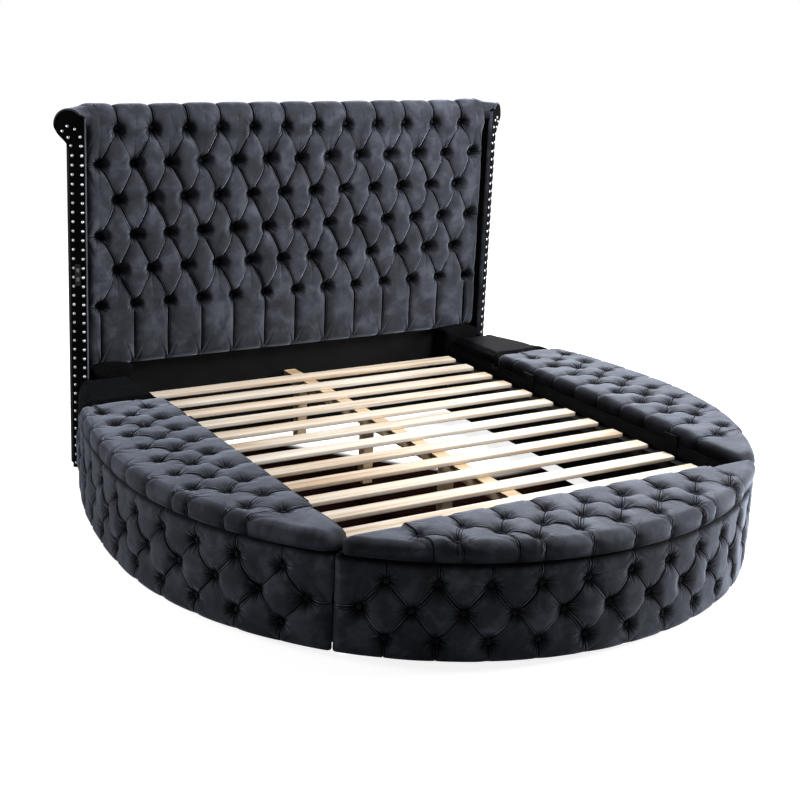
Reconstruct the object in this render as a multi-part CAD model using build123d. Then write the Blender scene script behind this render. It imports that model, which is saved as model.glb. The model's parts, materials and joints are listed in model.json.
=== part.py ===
from build123d import *
from math import asin, atan2, ceil, cos, hypot, pi, radians, sin, sqrt
import os

# Round storage bed with a tufted headboard. All sizes are in millimetres.
# While the pieces are drawn, the middle of the round front is at x = 0 and y = 0,
# the headboard is at +y and the floor is z = 0. The finished pieces are then moved
# along y, so that the middle of the whole bed stands on the origin.

# Driving sizes of the plan. The round front just clears the front corners of the well.
well_width = 1640.0           # between the long rails, for a mattress 1600 wide
well_front = 890.0            # from the middle of the round front to the foot rail
corner_gap = 1.57             # a corner of the rails to the inside of the round wall
bench_narrowing = 217.0       # how much narrower each side is where the benches meet the headboard
bench_end_y = 1035.0          # from the middle of the round front to that place

# Heights
box_top = 350.0
cover_bottom = 42.0
slat_drop = 24.0              # top of the slats below the top of the box

# Sheet parts
panel = 18.0                  # plywood of rails and bulkheads
wall_ply = 12.0               # bent plywood of the round walls
floor_ply = 12.0
lid_ply = 15.0
fit = 0.3                     # seat clearance between two pieces
overrun = 5.0                 # how far a cutting tool passes through

# Upholstery of the round walls, as heights above the plywood
cover_depth = 36.0            # plywood face to the crown of a tuft
cover_back = 1.2
cover_floor = 9.0
cover_edge = 20.0
cover_low_edge = 8.0
cover_valley = 15.0
cover_roll = 12.0
cover_top_gap = 4.0           # the cover ends this far below the top of the box
seam_gap = 3.0                # between two covers, at the seam
wall_columns = 12             # buttons of the middle row on each cover
wall_row_rise = 45.0          # lower end of the cover to the first of three rows of buttons
wall_row_drop = 70.0          # last of them below the top of the box

# Lids
lid_gap = 8.0                 # between the foot lid and the side lids
rear_pad_length = 377.0       # fixed pad between a side lid and the headboard
lid_outset = 2.0              # the lid stays this far inside the crown of the wall
lid_setback = 6.0             # rail face to the inner side of a lid pad
lid_board_setback = 4.5
lid_edge_cover = 14.0         # padding over the outer edge of the lid board
pad_bottom = 2.0              # heights above the top of the box
pad_belly = 20.0
pad_side = 36.0
pad_shoulder = 46.0
pad_edge = 52.0
pad_floor = 57.0
pad_crown = 83.0
pad_margin_crown = 73.0
pad_end_crown = 66.0
pad_valley = 66.0
pad_roll = 16.0
pad_roll_step = 5.0
pad_tuck = 3.0

# Lattice of buttons on the lids
foot_tip_depth = 31.0         # what is left of the foot lid at its cut tips
side_first_row = 119.0        # hinge side of the pad to the first row of buttons
side_row_step = 94.5
side_pitch = 147.5
side_rear_margin = 123.0      # rear end of the lid to its rear button
foot_first_row = 109.0
foot_row_step = 87.0
foot_pitch = 163.0
button_margin = 40.0          # least distance from a button to the outer edge
arc_step = 75.0               # longest straight piece along a round edge

# Buttons
button_radius = 11.2
button_top_radius = 7.5
button_height = 8.0
button_seat = 0.15
dome_sides = 5                # flats of a button and of a nail
dimple_radius = 15.0
widest_turn = 80.0            # degrees that one straight piece of a dimple's rim may span

# Slats and their carriers
slat_count = 12
slat_end_gap = 20.0           # end of a slat to the rail
slat_width = 65.0
slat_thickness = 18.0
slat_back_gap = 35.0          # end of the benches to the first slat
slat_front_gap = 156.3        # last slat to the foot rail
slat_round = 3.0
cleat_width = 45.0
cleat_height = 40.0
cleat_short = 21.0            # the cleats stop this far before the ends of the rails
beam_width = 60.0
beam_height = 45.0
leg_size = 45.0
leg_step = 603.5
leg_back_gap = 15.0           # middle of the rear leg to the end of the benches

# Headboard
head_setback = 115.0          # end of the benches to the front of the plywood core
head_narrowing = 54.0         # how much narrower the core is than the benches, on each side
head_pad_inset = 1.0          # side of the pad inside the core
head_pad_lift = 75.0          # lower end of the pad above the top of the box
head_pad_over = 12.0          # upper end of the pad above the axis of the roll
head_side_margin = 64.0       # last button of a row to the side of the pad
head_row_rise = 274.0         # lower end of the pad to the first row of buttons
head_row_drop = 46.0          # last row below the upper end of the pad
head_rows = 6
head_half_columns = 12        # half pitches from the middle to the last button
head_floor = 22.0             # heights in front of the core
head_crown = 75.0
head_margin_crown = 64.0
head_edge = 50.0
head_side = 36.0
head_belly = 20.0
head_valley = 50.0
head_roll = 22.0
head_roll_step = 6.0
roll_radius = 60.0
roll_height = 1488.0          # axis of the roll over the top
roll_lead = 2.0               # axis of the roll in front of the core
roll_reach = 84.0             # end of the roll beside the core
flank_overlap = 20.0          # how far the plain wings of the pad stand over the well, each side
flank_gap = 5.0               # end of the benches to the wings
cloth_thickness = 10.0
cloth_bottom = 200.0

# Canted side boards with the nails
board_side_gap = 13.0         # side of the core to the inner edge of a board
board_front_gap = 10.0        # end of the benches to the same edge
board_angle = 40.0
board_width = 70.0
board_thickness = 24.0
scroll_radius = 65.0
scroll_middle = 66.0          # axis of the scroll, from the inner edge of the board
scroll_drop = 16.0            # axis of the scroll below the axis of the roll
neck_drop = 107.0             # neck of the board below the axis of the scroll
neck_angle = 35.0
scroll_end_angle = 125.0
board_inner_rise = 33.0       # inner top corner of the board above the axis of the scroll
post_reach = 49.0             # outer side of a corner post beside the core

# Nails
nail_radius = 5.6
nail_height = 3.6
nail_count = 38
nail_low = 34.0
nail_neck_over = 1.0          # last nail of a row above the neck of the board
nail_inner = 15.0
nail_outer = 56.0
scroll_nail_shares = ((0.09, -1.14), (0.415, -0.69), (0.71, -0.34), (0.76, 0.195), (0.46, 0.64),
                      (-0.75, -1.08), (-0.585, -0.55), (-0.23, -0.14))

# Charging plate on the left board
plate_width = 26.0
plate_length = 92.0
plate_thickness = 3.0
plate_height = 852.0
plate_round = 5.0
port_width = 12.0
port_length = 15.0
port_offset = 19.0
port_depth = 2.0
port_wall = 1.6

# Hinges
hinge_height = 46.0           # pin above the top of the box
hinge_offset = 8.0            # pin in front of the rail face
knuckle_radius = 4.5
knuckle_sides = 10            # flats of a knuckle, outside and in its hole
pin_radius = 2.5
pin_clearance = 0.05
knuckle_length = 22.0
knuckle_gap = 0.5
leaf_thickness = 2.5
leaf_drop = 38.0
leaf_lift = 5.0               # lower edge of the moving leaf above the top of the box
side_hinge_shares = (-0.42, 0.30)
foot_hinge_shares = (-0.38, 0.38)

# Feet
foot_size = 60.0
# across as a share of the half width there, and along as a share of the radius or of the bench
foot_shares = ((0.838, -0.55), (0.92, 0.0), (0.915, 0.86), (0.751, -0.78), (0.0, -0.85))

well_half = well_width / 2
rail_outer = well_half + panel
wall_outer = cover_depth
wall_inner = cover_depth + wall_ply
bed_radius = hypot(rail_outer, well_front) + wall_inner + corner_gap
side_radius = (bench_narrowing**2 + bench_end_y**2) / (2 * bench_narrowing)
side_centre = side_radius - bed_radius
slat_top = box_top - slat_drop
wall_row_low = cover_bottom + wall_row_rise
wall_row_high = box_top - wall_row_drop
wall_row_middle = (wall_row_low + wall_row_high) / 2
lid_rear = bench_end_y - rear_pad_length - lid_gap
foot_zero = well_front + lid_setback
foot_lid_half = sqrt((bed_radius - lid_outset)**2 - (foot_zero + foot_tip_depth)**2)
slat_length = 2 * (well_half - slat_end_gap)
slat_back = bench_end_y - slat_back_gap
slat_run = slat_back + well_front - slat_front_gap - slat_width
slat_pitch = slat_run / (slat_count - 1)
leg_first = bench_end_y - leg_back_gap
head_front = bench_end_y + head_setback
head_core_back = head_front + panel
head_half = bed_radius - bench_narrowing - head_narrowing
head_pad_half = head_half - head_pad_inset
head_pad_bottom = box_top + head_pad_lift
head_pad_top = roll_height + head_pad_over
head_pitch = 2 * (head_pad_half - head_side_margin) / head_half_columns
head_row_low = head_pad_bottom + head_row_rise
head_row_step = (head_pad_top - head_row_drop - head_row_low) / (head_rows - 1)
roll_half = head_half + roll_reach
flank_inner = well_half - flank_overlap
flank_front = bench_end_y + flank_gap
board_inner_x = head_half + board_side_gap
board_inner_y = bench_end_y + board_front_gap
scroll_height = roll_height - scroll_drop
scroll_neck = scroll_height - neck_drop
board_inner_top = scroll_height + board_inner_rise
post_half = head_half + post_reach
nail_pitch = (scroll_neck + nail_neck_over - nail_low) / (nail_count - 1)
roll_y = head_front - roll_lead
shift_y = (bed_radius - roll_y - roll_radius) / 2
quarter = bed_radius * pi / 4
side_length = quarter + side_radius * asin(bench_end_y / side_radius)


def half_width(y, inset):
    """Half the width of the round plan at y, a given distance inside its edge."""
    if y < 0:
        return sqrt((bed_radius - inset)**2 - y**2)
    radius = side_radius - inset
    return sqrt(radius**2 - y**2) - side_centre


def side_region(inset, inner, front, back):
    """Left part of the plan, between a long straight edge and the round edge."""
    stops = [front, back]
    if front < 0 < back:
        stops = [front, 0, back]
    edges = [Line((-inner, front), (-half_width(front, inset), front))]
    for low, high in zip(stops, stops[1:]):
        points = [(-half_width(y, inset), y) for y in (low, (low + high) / 2, high)]
        edges.append(ThreePointArc(*points))
    edges.append(Line((-half_width(back, inset), back), (-inner, back)))
    edges.append(Line((-inner, back), (-inner, front)))
    return make_face(edges)


def foot_region(inset, front_edge):
    """Part of the plan between a straight edge across the bed and the round foot."""
    reach = bed_radius - inset
    end = sqrt(reach**2 - front_edge**2)
    left = (-end, -front_edge)
    right = (end, -front_edge)
    return make_face([ThreePointArc(left, (0, -reach), right), Line(right, left)])


def upright(face, bottom, top):
    """Extrudes a plan outline between two heights."""
    return extrude(Pos(0, 0, bottom) * face, top - bottom)


def bar(x0, x1, y0, y1, z0, z1):
    """Straight block between its limits."""
    block = Box(x1 - x0, y1 - y0, z1 - z0)
    return Pos((x0 + x1) / 2, (y0 + y1) / 2, (z0 + z1) / 2) * block


def other_side(piece):
    """The same piece on the right of the bed."""
    return mirror(piece, Plane.YZ)


def flat_polygon(points):
    return make_face(Polyline(*points, close=True))


def inset_loop(loop, inset):
    """Moves each corner of a closed outline inward by the same distance."""
    moved = []
    for index, (a, b) in enumerate(loop):
        before_a, before_b = loop[index - 1]
        after_a, after_b = loop[(index + 1) % len(loop)]
        first = hypot(a - before_a, b - before_b)
        second = hypot(after_a - a, after_b - b)
        normal_1 = (-(b - before_b) / first, (a - before_a) / first)
        normal_2 = (-(after_b - b) / second, (after_a - a) / second)
        spread = 1 + normal_1[0] * normal_2[0] + normal_1[1] * normal_2[1]
        step = inset / spread
        moved.append((a + step * (normal_1[0] + normal_2[0]), b + step * (normal_1[1] + normal_2[1])))
    return moved


def middle_of(points):
    """Centre of area of a flat outline."""
    area = 0
    sum_a = 0
    sum_b = 0
    for index, (a, b) in enumerate(points):
        before_a, before_b = points[index - 1]
        cross = before_a * b - a * before_b
        area += cross
        sum_a += (before_a + a) * cross
        sum_b += (before_b + b) * cross
    return sum_a / (3 * area), sum_b / (3 * area)


class Tufting:
    """Buttoned upholstery over a flat plan, which a function then bends into place.

    Buttons sit on small flat floors. Creases run from button to button and, as pleats,
    from the outer buttons to the edge. Between the creases stand the pillows.
    """

    def __init__(self, place, levels, rings, curved):
        self.place = place
        self.levels = levels
        self.rings = rings
        self.curved = curved
        self.buttons = {}
        self.pleats = []
        self.loop = []
        self.cells = []

    def add_pillows(self):
        """A pillow stands in each square of four neighbouring buttons."""
        spots = set()
        for row, column in self.buttons:
            spots.add((row, column + 1))
            spots.add((row, column - 1))
        for row, column in sorted(spots):
            corners = [(row, column + 1), (row + 1, column), (row, column - 1), (row - 1, column)]
            if all(corner in self.buttons for corner in corners):
                self.cells.append((corners, self.levels["crown"]))

    def add_pleat(self, button, edge_point, chain, extras, level="margin"):
        """A pleat from a button to the edge, and what lies between it and the next one.

        chain holds the buttons up to the next pleat's own, extras the outline's points.
        """
        first = len(self.loop)
        self.loop.append(edge_point)
        self.loop.extend(extras)
        self.pleats.append((button, first, len(extras), chain, level))

    def add_margin(self):
        """Pillows between the outer buttons and the edge."""
        for index, (button, first, extra_count, chain, level) in enumerate(self.pleats):
            outline = list(range(first, first + extra_count + 1))
            outline.append(self.pleats[(index + 1) % len(self.pleats)][1])
            self.cells.append((outline + list(reversed(chain)), self.levels[level]))

    def solid(self):
        edge_loop = inset_loop(self.loop, self.rings[0][0])
        edge_height = self.rings[0][1]
        spot = dict(self.buttons)
        for index, point in enumerate(edge_loop):
            spot[index] = point
        directions = {name: set() for name in self.buttons}
        for corners, height in self.cells:
            for index, name in enumerate(corners):
                for other in (corners[index - 1], corners[(index + 1) % len(corners)]):
                    if name in directions:
                        directions[name].add(other)

        def angle(name, other):
            return atan2(spot[other][1] - spot[name][1], spot[other][0] - spot[name][0])

        def sector(name, start, end):
            """Rim of a button's floor, turning left from one crease to another."""
            from_angle = angle(name, start)
            turn = (angle(name, end) - from_angle) % (2 * pi)
            pieces = ceil(turn / radians(widest_turn))
            rim = []
            for step in range(pieces + 1):
                # the crease's own end has one value for both of its neighbours
                if step == pieces:
                    here = angle(name, end)
                else:
                    here = from_angle + turn * step / pieces
                a = spot[name][0] + dimple_radius * cos(here)
                b = spot[name][1] + dimple_radius * sin(here)
                rim.append((a, b, self.levels["floor"]))
            return rim

        def crease_middle(name, other):
            one, two = sorted((name, other), key=str)
            a = (spot[one][0] + spot[two][0]) / 2
            b = (spot[one][1] + spot[two][1]) / 2
            both = one in directions and two in directions
            return a, b, self.levels["valley"] if both else (edge_height + self.levels["valley"]) / 2

        faces = []

        def add_triangle(p, q, r):
            faces.append(flat_polygon([self.place(*p), self.place(*q), self.place(*r)]))

        for corners, height in self.cells:
            rim = []
            for index, name in enumerate(corners):
                before = corners[index - 1]
                after = corners[(index + 1) % len(corners)]
                if name in directions:
                    rim.extend(reversed(sector(name, after, before)))
                else:
                    rim.append((*spot[name], edge_height))
                if name in directions or after in directions:
                    rim.append(crease_middle(name, after))
            peak = (*middle_of([spot[name] for name in corners]), height)
            for index, point in enumerate(rim):
                add_triangle(rim[index - 1], point, peak)

        for name, others in directions.items():
            around = sorted(others, key=lambda other: angle(name, other) % (2 * pi))
            rim = []
            for index, other in enumerate(around):
                rim.extend(sector(name, other, around[(index + 1) % len(around)])[:-1])
            if self.curved:
                centre = (*spot[name], self.levels["floor"])
                for index, point in enumerate(rim):
                    add_triangle(rim[index - 1], point, centre)
            else:
                faces.append(flat_polygon([self.place(*point) for point in rim]))

        loops = []
        for inset, height in self.rings:
            loops.append([(a, b, height) for a, b in inset_loop(self.loop, inset)])
        for outer, inner in zip(loops, loops[1:]):
            for index, point in enumerate(outer):
                add_triangle(outer[index - 1], inner[index], point)
                add_triangle(outer[index - 1], inner[index - 1], inner[index])
        back = loops[-1]
        if not self.curved:
            faces.append(flat_polygon([self.place(*point) for point in back]))
        else:
            columns = {}
            for a, b, height in back:
                columns.setdefault(round(a, 3), []).append((a, b, height))
            order = sorted(columns)
            for left, right in zip(order, order[1:]):
                one = sorted(columns[left], key=lambda point: point[1])
                two = sorted(columns[right], key=lambda point: -point[1])
                faces.append(flat_polygon([self.place(*point) for point in one + two]))
        return Solid(Shell(faces))

    def button_set(self):
        """One button on each floor."""
        made = []
        stem = button_shape
        for a, b in self.buttons.values():
            base = Vector(*self.place(a, b, self.levels["floor"] + button_seat))
            tip = Vector(*self.place(a, b, self.levels["floor"] + button_height))
            made.append(Plane(origin=base, z_dir=tip - base).location * stem)
        return made


def low_dome(radius, top_radius, height):
    """Dome of a few flats with a flat top, or a point where the top radius is zero."""
    turns = [2 * pi * k / dome_sides for k in range(dome_sides)]
    rim = [(radius * cos(t), radius * sin(t), 0) for t in turns]
    faces = [flat_polygon(rim)]
    if top_radius:
        top = [(top_radius * cos(t), top_radius * sin(t), height) for t in turns]
        faces.append(flat_polygon(top))
        faces.extend(flat_polygon([rim[k - 1], rim[k], top[k], top[k - 1]]) for k in range(dome_sides))
    else:
        faces.extend(flat_polygon([rim[k - 1], rim[k], (0, 0, height)]) for k in range(dome_sides))
    return Solid(Shell(faces))


pad_rings = ((pad_roll, pad_edge), (pad_roll_step, pad_shoulder), (0, pad_side), (0, pad_belly),
             (pad_tuck, pad_bottom))


def lid_tufting(place, length_range, pitch, start, row_places, reach, square_end):
    """Tufting of one lid. a runs along the hinge, b goes out from it.

    reach gives the depth of the lid at a. A square end has pleats of its own, a tip has not.
    """
    low, high = length_range
    levels = {"floor": pad_floor, "crown": pad_crown, "margin": pad_margin_crown,
              "end": pad_end_crown, "valley": pad_valley}
    net = Tufting(place, levels, pad_rings, False)

    def along(column):
        return start + column * pitch / 2

    def active(row, column):
        a = along(column)
        if not low + button_margin < a < high - button_margin:
            return False
        return row_places[row] < reach(a) - button_margin

    # the run of columns where both the first and, between, the second row have a button
    span = int((high - low) / pitch) + 2
    columns = [0]
    while active(1, columns[-1] + 1) and active(0, columns[-1] + 2) and len(columns) < 2 * span:
        columns.extend([columns[-1] + 1, columns[-1] + 2])
    while active(1, columns[0] - 1) and active(0, columns[0] - 2) and len(columns) < 4 * span:
        columns[:0] = [columns[0] - 2, columns[0] - 1]
    top = {}
    for column in columns:
        for row in range(len(row_places)):
            if (row + column) % 2 == 0 and active(row, column):
                net.buttons[(row, column)] = (along(column), row_places[row])
                top[column] = row
    net.add_pillows()

    def arc_points(first, last):
        """Points of the outline strictly between two places along the round edge."""
        count = max(1, round(abs(last - first) / arc_step))
        steps = [first + (last - first) * k / count for k in range(1, count)]
        return [(a, reach(a)) for a in steps]

    first, last = columns[0], columns[-1]
    for column in columns[:-2:2]:
        net.add_pleat((0, column), (along(column), 0), [(0, column), (1, column + 1), (0, column + 2)], [])
    if square_end:
        # rear end, at the high side: pleats from the even rows
        net.add_pleat((0, last), (along(last), 0), [(0, last)], [(high, 0)])
        for row in range(0, top[last], 2):
            chain = [(row, last), (row + 1, last - 1), (row + 2, last)]
            net.add_pleat((row, last), (high, row_places[row]), chain, [])
        outer_corner = [(high, reach(high))] + arc_points(high, along(last))
        net.add_pleat((top[last], last), (high, row_places[top[last]]), [(top[last], last)], outer_corner)
    else:
        chain = [(0, last)]
        for row in range(0, top[last], 2):
            chain.extend([(row + 1, last - 1), (row + 2, last)])
        tip = [(high, 0)] + arc_points(high, along(last))
        if reach(high) > fit:
            tip.insert(1, (high, reach(high)))
        net.add_pleat((0, last), (along(last), 0), chain, tip, "end")

    def keeps_pleat(column):
        if column in (first, last):
            return True
        return not (top[column] < top[column - 1] and top[column] < top[column + 1])

    kept = [column for column in reversed(columns) if keeps_pleat(column)]
    for column, following in zip(kept, kept[1:]):
        chain = [(top[k], k) for k in range(column, following - 1, -1)]
        extras = arc_points(along(column), along(following))
        net.add_pleat((top[column], column), (along(column), reach(along(column))), chain, extras)
    chain = [(0, first)]
    for row in range(0, top[first], 2):
        chain.extend([(row + 1, first + 1), (row + 2, first)])
    tip = arc_points(along(first), low)
    if reach(low) > fit:
        tip.append((low, reach(low)))
    tip.append((low, 0))
    edge_point = (along(first), reach(along(first)))
    net.add_pleat((top[first], first), edge_point, list(reversed(chain)), tip, "end")
    net.add_margin()
    return net


def wall_tufting(place, start, end):
    """Tufting of a stretch of the round wall. a runs along the wall, b is the height."""
    levels = {"floor": cover_floor, "crown": cover_depth, "margin": cover_depth - cover_low_edge / 2,
              "end": cover_depth - cover_low_edge / 2, "valley": cover_valley}
    rings = [(cover_roll, cover_edge), (0, cover_low_edge), (0, cover_back)]
    net = Tufting(place, levels, rings, True)
    rows = (wall_row_low, wall_row_middle, wall_row_high)
    low = cover_bottom
    high = box_top - cover_top_gap
    half = (end - start) / (2 * wall_columns)
    last = 2 * wall_columns

    def along(column):
        return start + column * half

    for column in range(1, last):
        if column % 2:
            net.buttons[(1, column)] = (along(column), rows[1])
        else:
            net.buttons[(0, column)] = (along(column), rows[0])
            net.buttons[(2, column)] = (along(column), rows[2])
    net.add_pillows()
    for column in range(2, last - 2, 2):
        chain = [(0, column), (1, column + 1), (0, column + 2)]
        net.add_pleat((0, column), (along(column), low), chain, [(along(column + 1), low)])
    net.add_pleat((0, last - 2), (along(last - 2), low), [(0, last - 2), (1, last - 1)],
                  [(along(last - 1), low), (end, low)])
    net.add_pleat((1, last - 1), (end, rows[1]), [(1, last - 1), (2, last - 2)],
                  [(end, high), (along(last - 1), high)])
    for column in range(last - 2, 2, -2):
        chain = [(2, column), (1, column - 1), (2, column - 2)]
        net.add_pleat((2, column), (along(column), high), chain, [(along(column - 1), high)])
    net.add_pleat((2, 2), (along(2), high), [(2, 2), (1, 1)], [(along(1), high), (start, high)])
    net.add_pleat((1, 1), (start, rows[1]), [(1, 1), (0, 2)], [(start, low), (along(1), low)])
    net.add_margin()
    return net


def head_tufting():
    """Tufting of the headboard. a runs across the bed, b is the height."""

    def place(a, b, height):
        return a, head_front - height, b

    levels = {"floor": head_floor, "crown": head_crown, "margin": head_margin_crown,
              "end": head_margin_crown, "valley": head_valley}
    rings = [(head_roll, head_edge), (head_roll_step, head_side), (0, head_belly), (0, 0)]
    net = Tufting(place, levels, rings, False)
    half = head_pitch / 2
    last = head_half_columns
    top = head_rows - 1

    def height(row):
        return head_row_low + row * head_row_step

    def outer(row):
        return last if row % 2 == last % 2 else last - 1

    for row in range(head_rows):
        for column in range(-outer(row), outer(row) + 1, 2):
            net.buttons[(row, column)] = (column * half, height(row))
    net.add_pillows()
    for column in range(-last, last, 2):
        chain = [(0, column), (1, column + 1), (0, column + 2)]
        net.add_pleat((0, column), (column * half, head_pad_bottom), chain, [])
    net.add_pleat((0, last), (last * half, head_pad_bottom), [(0, last)], [(head_pad_half, head_pad_bottom)])
    side_rows = [row for row in range(0, head_rows, 2)]
    for row in side_rows[:-1]:
        chain = [(row, last), (row + 1, last - 1), (row + 2, last)]
        net.add_pleat((row, last), (head_pad_half, height(row)), chain, [])
    row = side_rows[-1]
    net.add_pleat((row, last), (head_pad_half, height(row)), [(row, last), (top, last - 1)],
                  [(head_pad_half, head_pad_top)])
    for column in range(last - 1, 1 - last, -2):
        chain = [(top, column), (top - 1, column - 1), (top, column - 2)]
        net.add_pleat((top, column), (column * half, head_pad_top), chain, [])
    net.add_pleat((top, 1 - last), ((1 - last) * half, head_pad_top), [(top, 1 - last), (row, -last)],
                  [(-head_pad_half, head_pad_top)])
    for row in reversed(side_rows[1:]):
        chain = [(row, -last), (row - 1, 1 - last), (row - 2, -last)]
        net.add_pleat((row, -last), (-head_pad_half, height(row)), chain, [])
    net.add_pleat((0, -last), (-head_pad_half, height(0)), [(0, -last)], [(-head_pad_half, head_pad_bottom)])
    net.add_margin()
    return net


def side_wall_place(a, b, height):
    """Bends the cover of the left wall, from the headboard forward to the foot seam."""
    inset = wall_outer - height
    along = side_length - a
    if along < quarter:
        angle = pi / 4 + along / bed_radius
        return -(bed_radius - inset) * sin(angle), -(bed_radius - inset) * cos(angle), b
    angle = (along - quarter) / side_radius
    radius = side_radius - inset
    return side_centre - radius * cos(angle), radius * sin(angle), b


def foot_wall_place(a, b, height):
    """Bends the cover of the foot wall round the front."""
    radius = bed_radius - wall_outer + height
    return radius * sin(a / bed_radius), -radius * cos(a / bed_radius), b


button_shape = low_dome(button_radius, button_top_radius, button_height - button_seat)
parts = {}

# Storage boxes: floors, rails, round walls and bulkheads
foot_outer = well_front + panel
floor_top = cover_bottom + floor_ply
box_back = bench_end_y - cover_top_gap
seam_y = -(bed_radius - wall_outer) * cos(pi / 4)

parts["foot_box_floor"] = upright(foot_region(wall_inner, foot_outer), cover_bottom, floor_top)
rail_strip = foot_region(wall_inner, well_front) - foot_region(wall_inner, foot_outer)
parts["foot_inner_rail"] = upright(rail_strip, cover_bottom, box_top)
foot_wall = upright(foot_region(wall_outer, -seam_y), cover_bottom, box_top)
foot_room = upright(foot_region(wall_inner, -seam_y - overrun), cover_bottom - overrun, box_top + overrun)
parts["foot_outer_wall"] = foot_wall - foot_room

parts["left_box_floor"] = upright(side_region(wall_inner, rail_outer, fit - well_front, box_back - panel),
                                  cover_bottom, floor_top)
parts["left_inner_rail"] = bar(-rail_outer, -well_half, -well_front, box_back, cover_bottom, box_top)
side_wall = upright(side_region(wall_outer, 0, seam_y, box_back), cover_bottom, box_top)
side_room = upright(side_region(wall_inner, 0, seam_y - overrun, box_back + overrun),
                    cover_bottom - overrun, box_top + overrun)
parts["left_outer_wall"] = side_wall - side_room
pad_front = lid_rear + lid_gap
divider_front = (lid_rear + pad_front - panel) / 2
divider = side_region(wall_inner, rail_outer, divider_front, divider_front + panel)
rear_bulkhead = side_region(wall_inner, rail_outer, box_back - panel, box_back)
parts["left_bulkheads"] = [upright(divider, floor_top, box_top),
                           upright(rear_bulkhead, cover_bottom, box_top)]

# Upholstered covers of the round walls and their buttons
foot_net = wall_tufting(foot_wall_place, -quarter + seam_gap / 2, quarter - seam_gap / 2)
side_net = wall_tufting(side_wall_place, 0, side_length - seam_gap / 2)
parts["foot_wall_cover"] = foot_net.solid()
parts["left_wall_cover"] = side_net.solid()
side_buttons = side_net.button_set()
parts["wall_buttons"] = foot_net.button_set() + side_buttons + [other_side(b) for b in side_buttons]

# Fixed boards and plain pads between the side lids and the headboard
side_zero = well_half + lid_setback
board_zero = well_half + lid_board_setback
edge_cover = lid_outset + lid_edge_cover


def side_lid_place(a, b, height):
    """Lays the tufting of the left lid along the left rail."""
    return -(side_zero + b), a, box_top + height


def side_reach(a):
    return half_width(a, lid_outset) - side_zero


rear_board = side_region(edge_cover, board_zero, pad_front + lid_edge_cover, bench_end_y - lid_edge_cover)
parts["left_rear_board"] = upright(rear_board, box_top, box_top + lid_ply)
rear_net = Tufting(side_lid_place, {}, pad_rings, False)
rear_net.loop = [(pad_front, 0), (bench_end_y, 0), (bench_end_y, side_reach(bench_end_y))]
rear_steps = round((bench_end_y - pad_front) / arc_step)
for step in range(1, rear_steps + 1):
    rear_y = bench_end_y + (pad_front - bench_end_y) * step / rear_steps
    rear_net.loop.append((rear_y, side_reach(rear_y)))
rear_net.cells.append((list(range(len(rear_net.loop))), pad_end_crown))
rear_room = side_region(edge_cover - fit, well_half, pad_front + lid_edge_cover - fit,
                        bench_end_y - lid_edge_cover + fit)
parts["left_rear_pad"] = rear_net.solid() - upright(rear_room, box_top - overrun, box_top + lid_ply + fit)

# Side lid: board, tufted pad and buttons
lid_bottom = box_top + fit
lid_top = lid_bottom + lid_ply
side_front = lid_gap - well_front - lid_setback
side_start = lid_rear - side_rear_margin
side_rows = [side_first_row + row * side_row_step for row in range(3)]
side_lid = lid_tufting(side_lid_place, (side_front, lid_rear), side_pitch, side_start, side_rows,
                       side_reach, True)
lid_board = side_region(edge_cover, board_zero, side_front + lid_edge_cover, lid_rear - lid_edge_cover)
parts["left_lid_board"] = upright(lid_board, lid_bottom, lid_top)
lid_room = side_region(edge_cover - fit, well_half, side_front + lid_edge_cover - fit,
                       lid_rear - lid_edge_cover + fit)
parts["left_lid_pad"] = side_lid.solid() - upright(lid_room, box_top - overrun, lid_top + fit)
parts["left_lid_buttons"] = side_lid.button_set()

# Foot lid


def foot_lid_place(a, b, height):
    """Lays the tufting of the foot lid along the foot rail."""
    return -a, -(foot_zero + b), box_top + height


def foot_reach(a):
    return sqrt((bed_radius - lid_outset)**2 - a**2) - foot_zero


foot_rows = [foot_first_row + row * foot_row_step for row in range(3)]
foot_lid = lid_tufting(foot_lid_place, (-foot_lid_half, foot_lid_half), foot_pitch, 0, foot_rows,
                       foot_reach, False)


def foot_board(inset, inner, half):
    """Plan of the board in the foot lid, with square tips."""
    tips = upright(foot_region(inset, inner), lid_bottom, lid_top)
    return tips & bar(-half, half, -bed_radius, 0, lid_bottom, lid_top)


foot_tip = foot_lid_half - lid_edge_cover
parts["foot_lid_board"] = foot_board(edge_cover, well_front + lid_board_setback, foot_tip)
foot_tools = upright(foot_region(edge_cover - fit, well_front), box_top - overrun, lid_top + fit)
foot_room = foot_tools & bar(-foot_tip - fit, foot_tip + fit, -bed_radius, 0, 0, lid_top + fit)
parts["foot_lid_pad"] = foot_lid.solid() - foot_room
parts["foot_lid_buttons"] = foot_lid.button_set()

# Hinges, drawn on the left rail at y = 0 and then set in place
axis_x = well_half - hinge_offset
axis_z = box_top + hinge_height
hinge_half = 1.5 * knuckle_length + knuckle_gap
side_knuckle = knuckle_length / 2 + knuckle_gap
thirds = ((-hinge_half, -side_knuckle), (-knuckle_length / 2, knuckle_length / 2),
          (side_knuckle, hinge_half))


def along_axis(section, y0, y1):
    """A section, drawn on the hinge axis and extruded along it."""
    return Pos(-axis_x, y1, axis_z) * (Rot(90, 0, 0) * extrude(section, y1 - y0))


def leaf(inner, outer, low, high, ends):
    """Plate of a hinge with its rolled knuckles."""
    half_leaf = leaf_thickness / 2
    made = bar(-outer, -inner, -hinge_half, hinge_half, low, high)
    for y0, y1 in ends:
        made += bar(-outer, -inner, y0, y1, low, axis_z + half_leaf)
        made += bar(-outer, -axis_x, y0, y1, axis_z - half_leaf, axis_z + half_leaf)
        made += along_axis(RegularPolygon(knuckle_radius, knuckle_sides, major_radius=False), y0, y1)
    hole = RegularPolygon(pin_radius + pin_clearance, knuckle_sides, major_radius=False)
    return made - along_axis(hole, -hinge_half - overrun, hinge_half + overrun)


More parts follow.
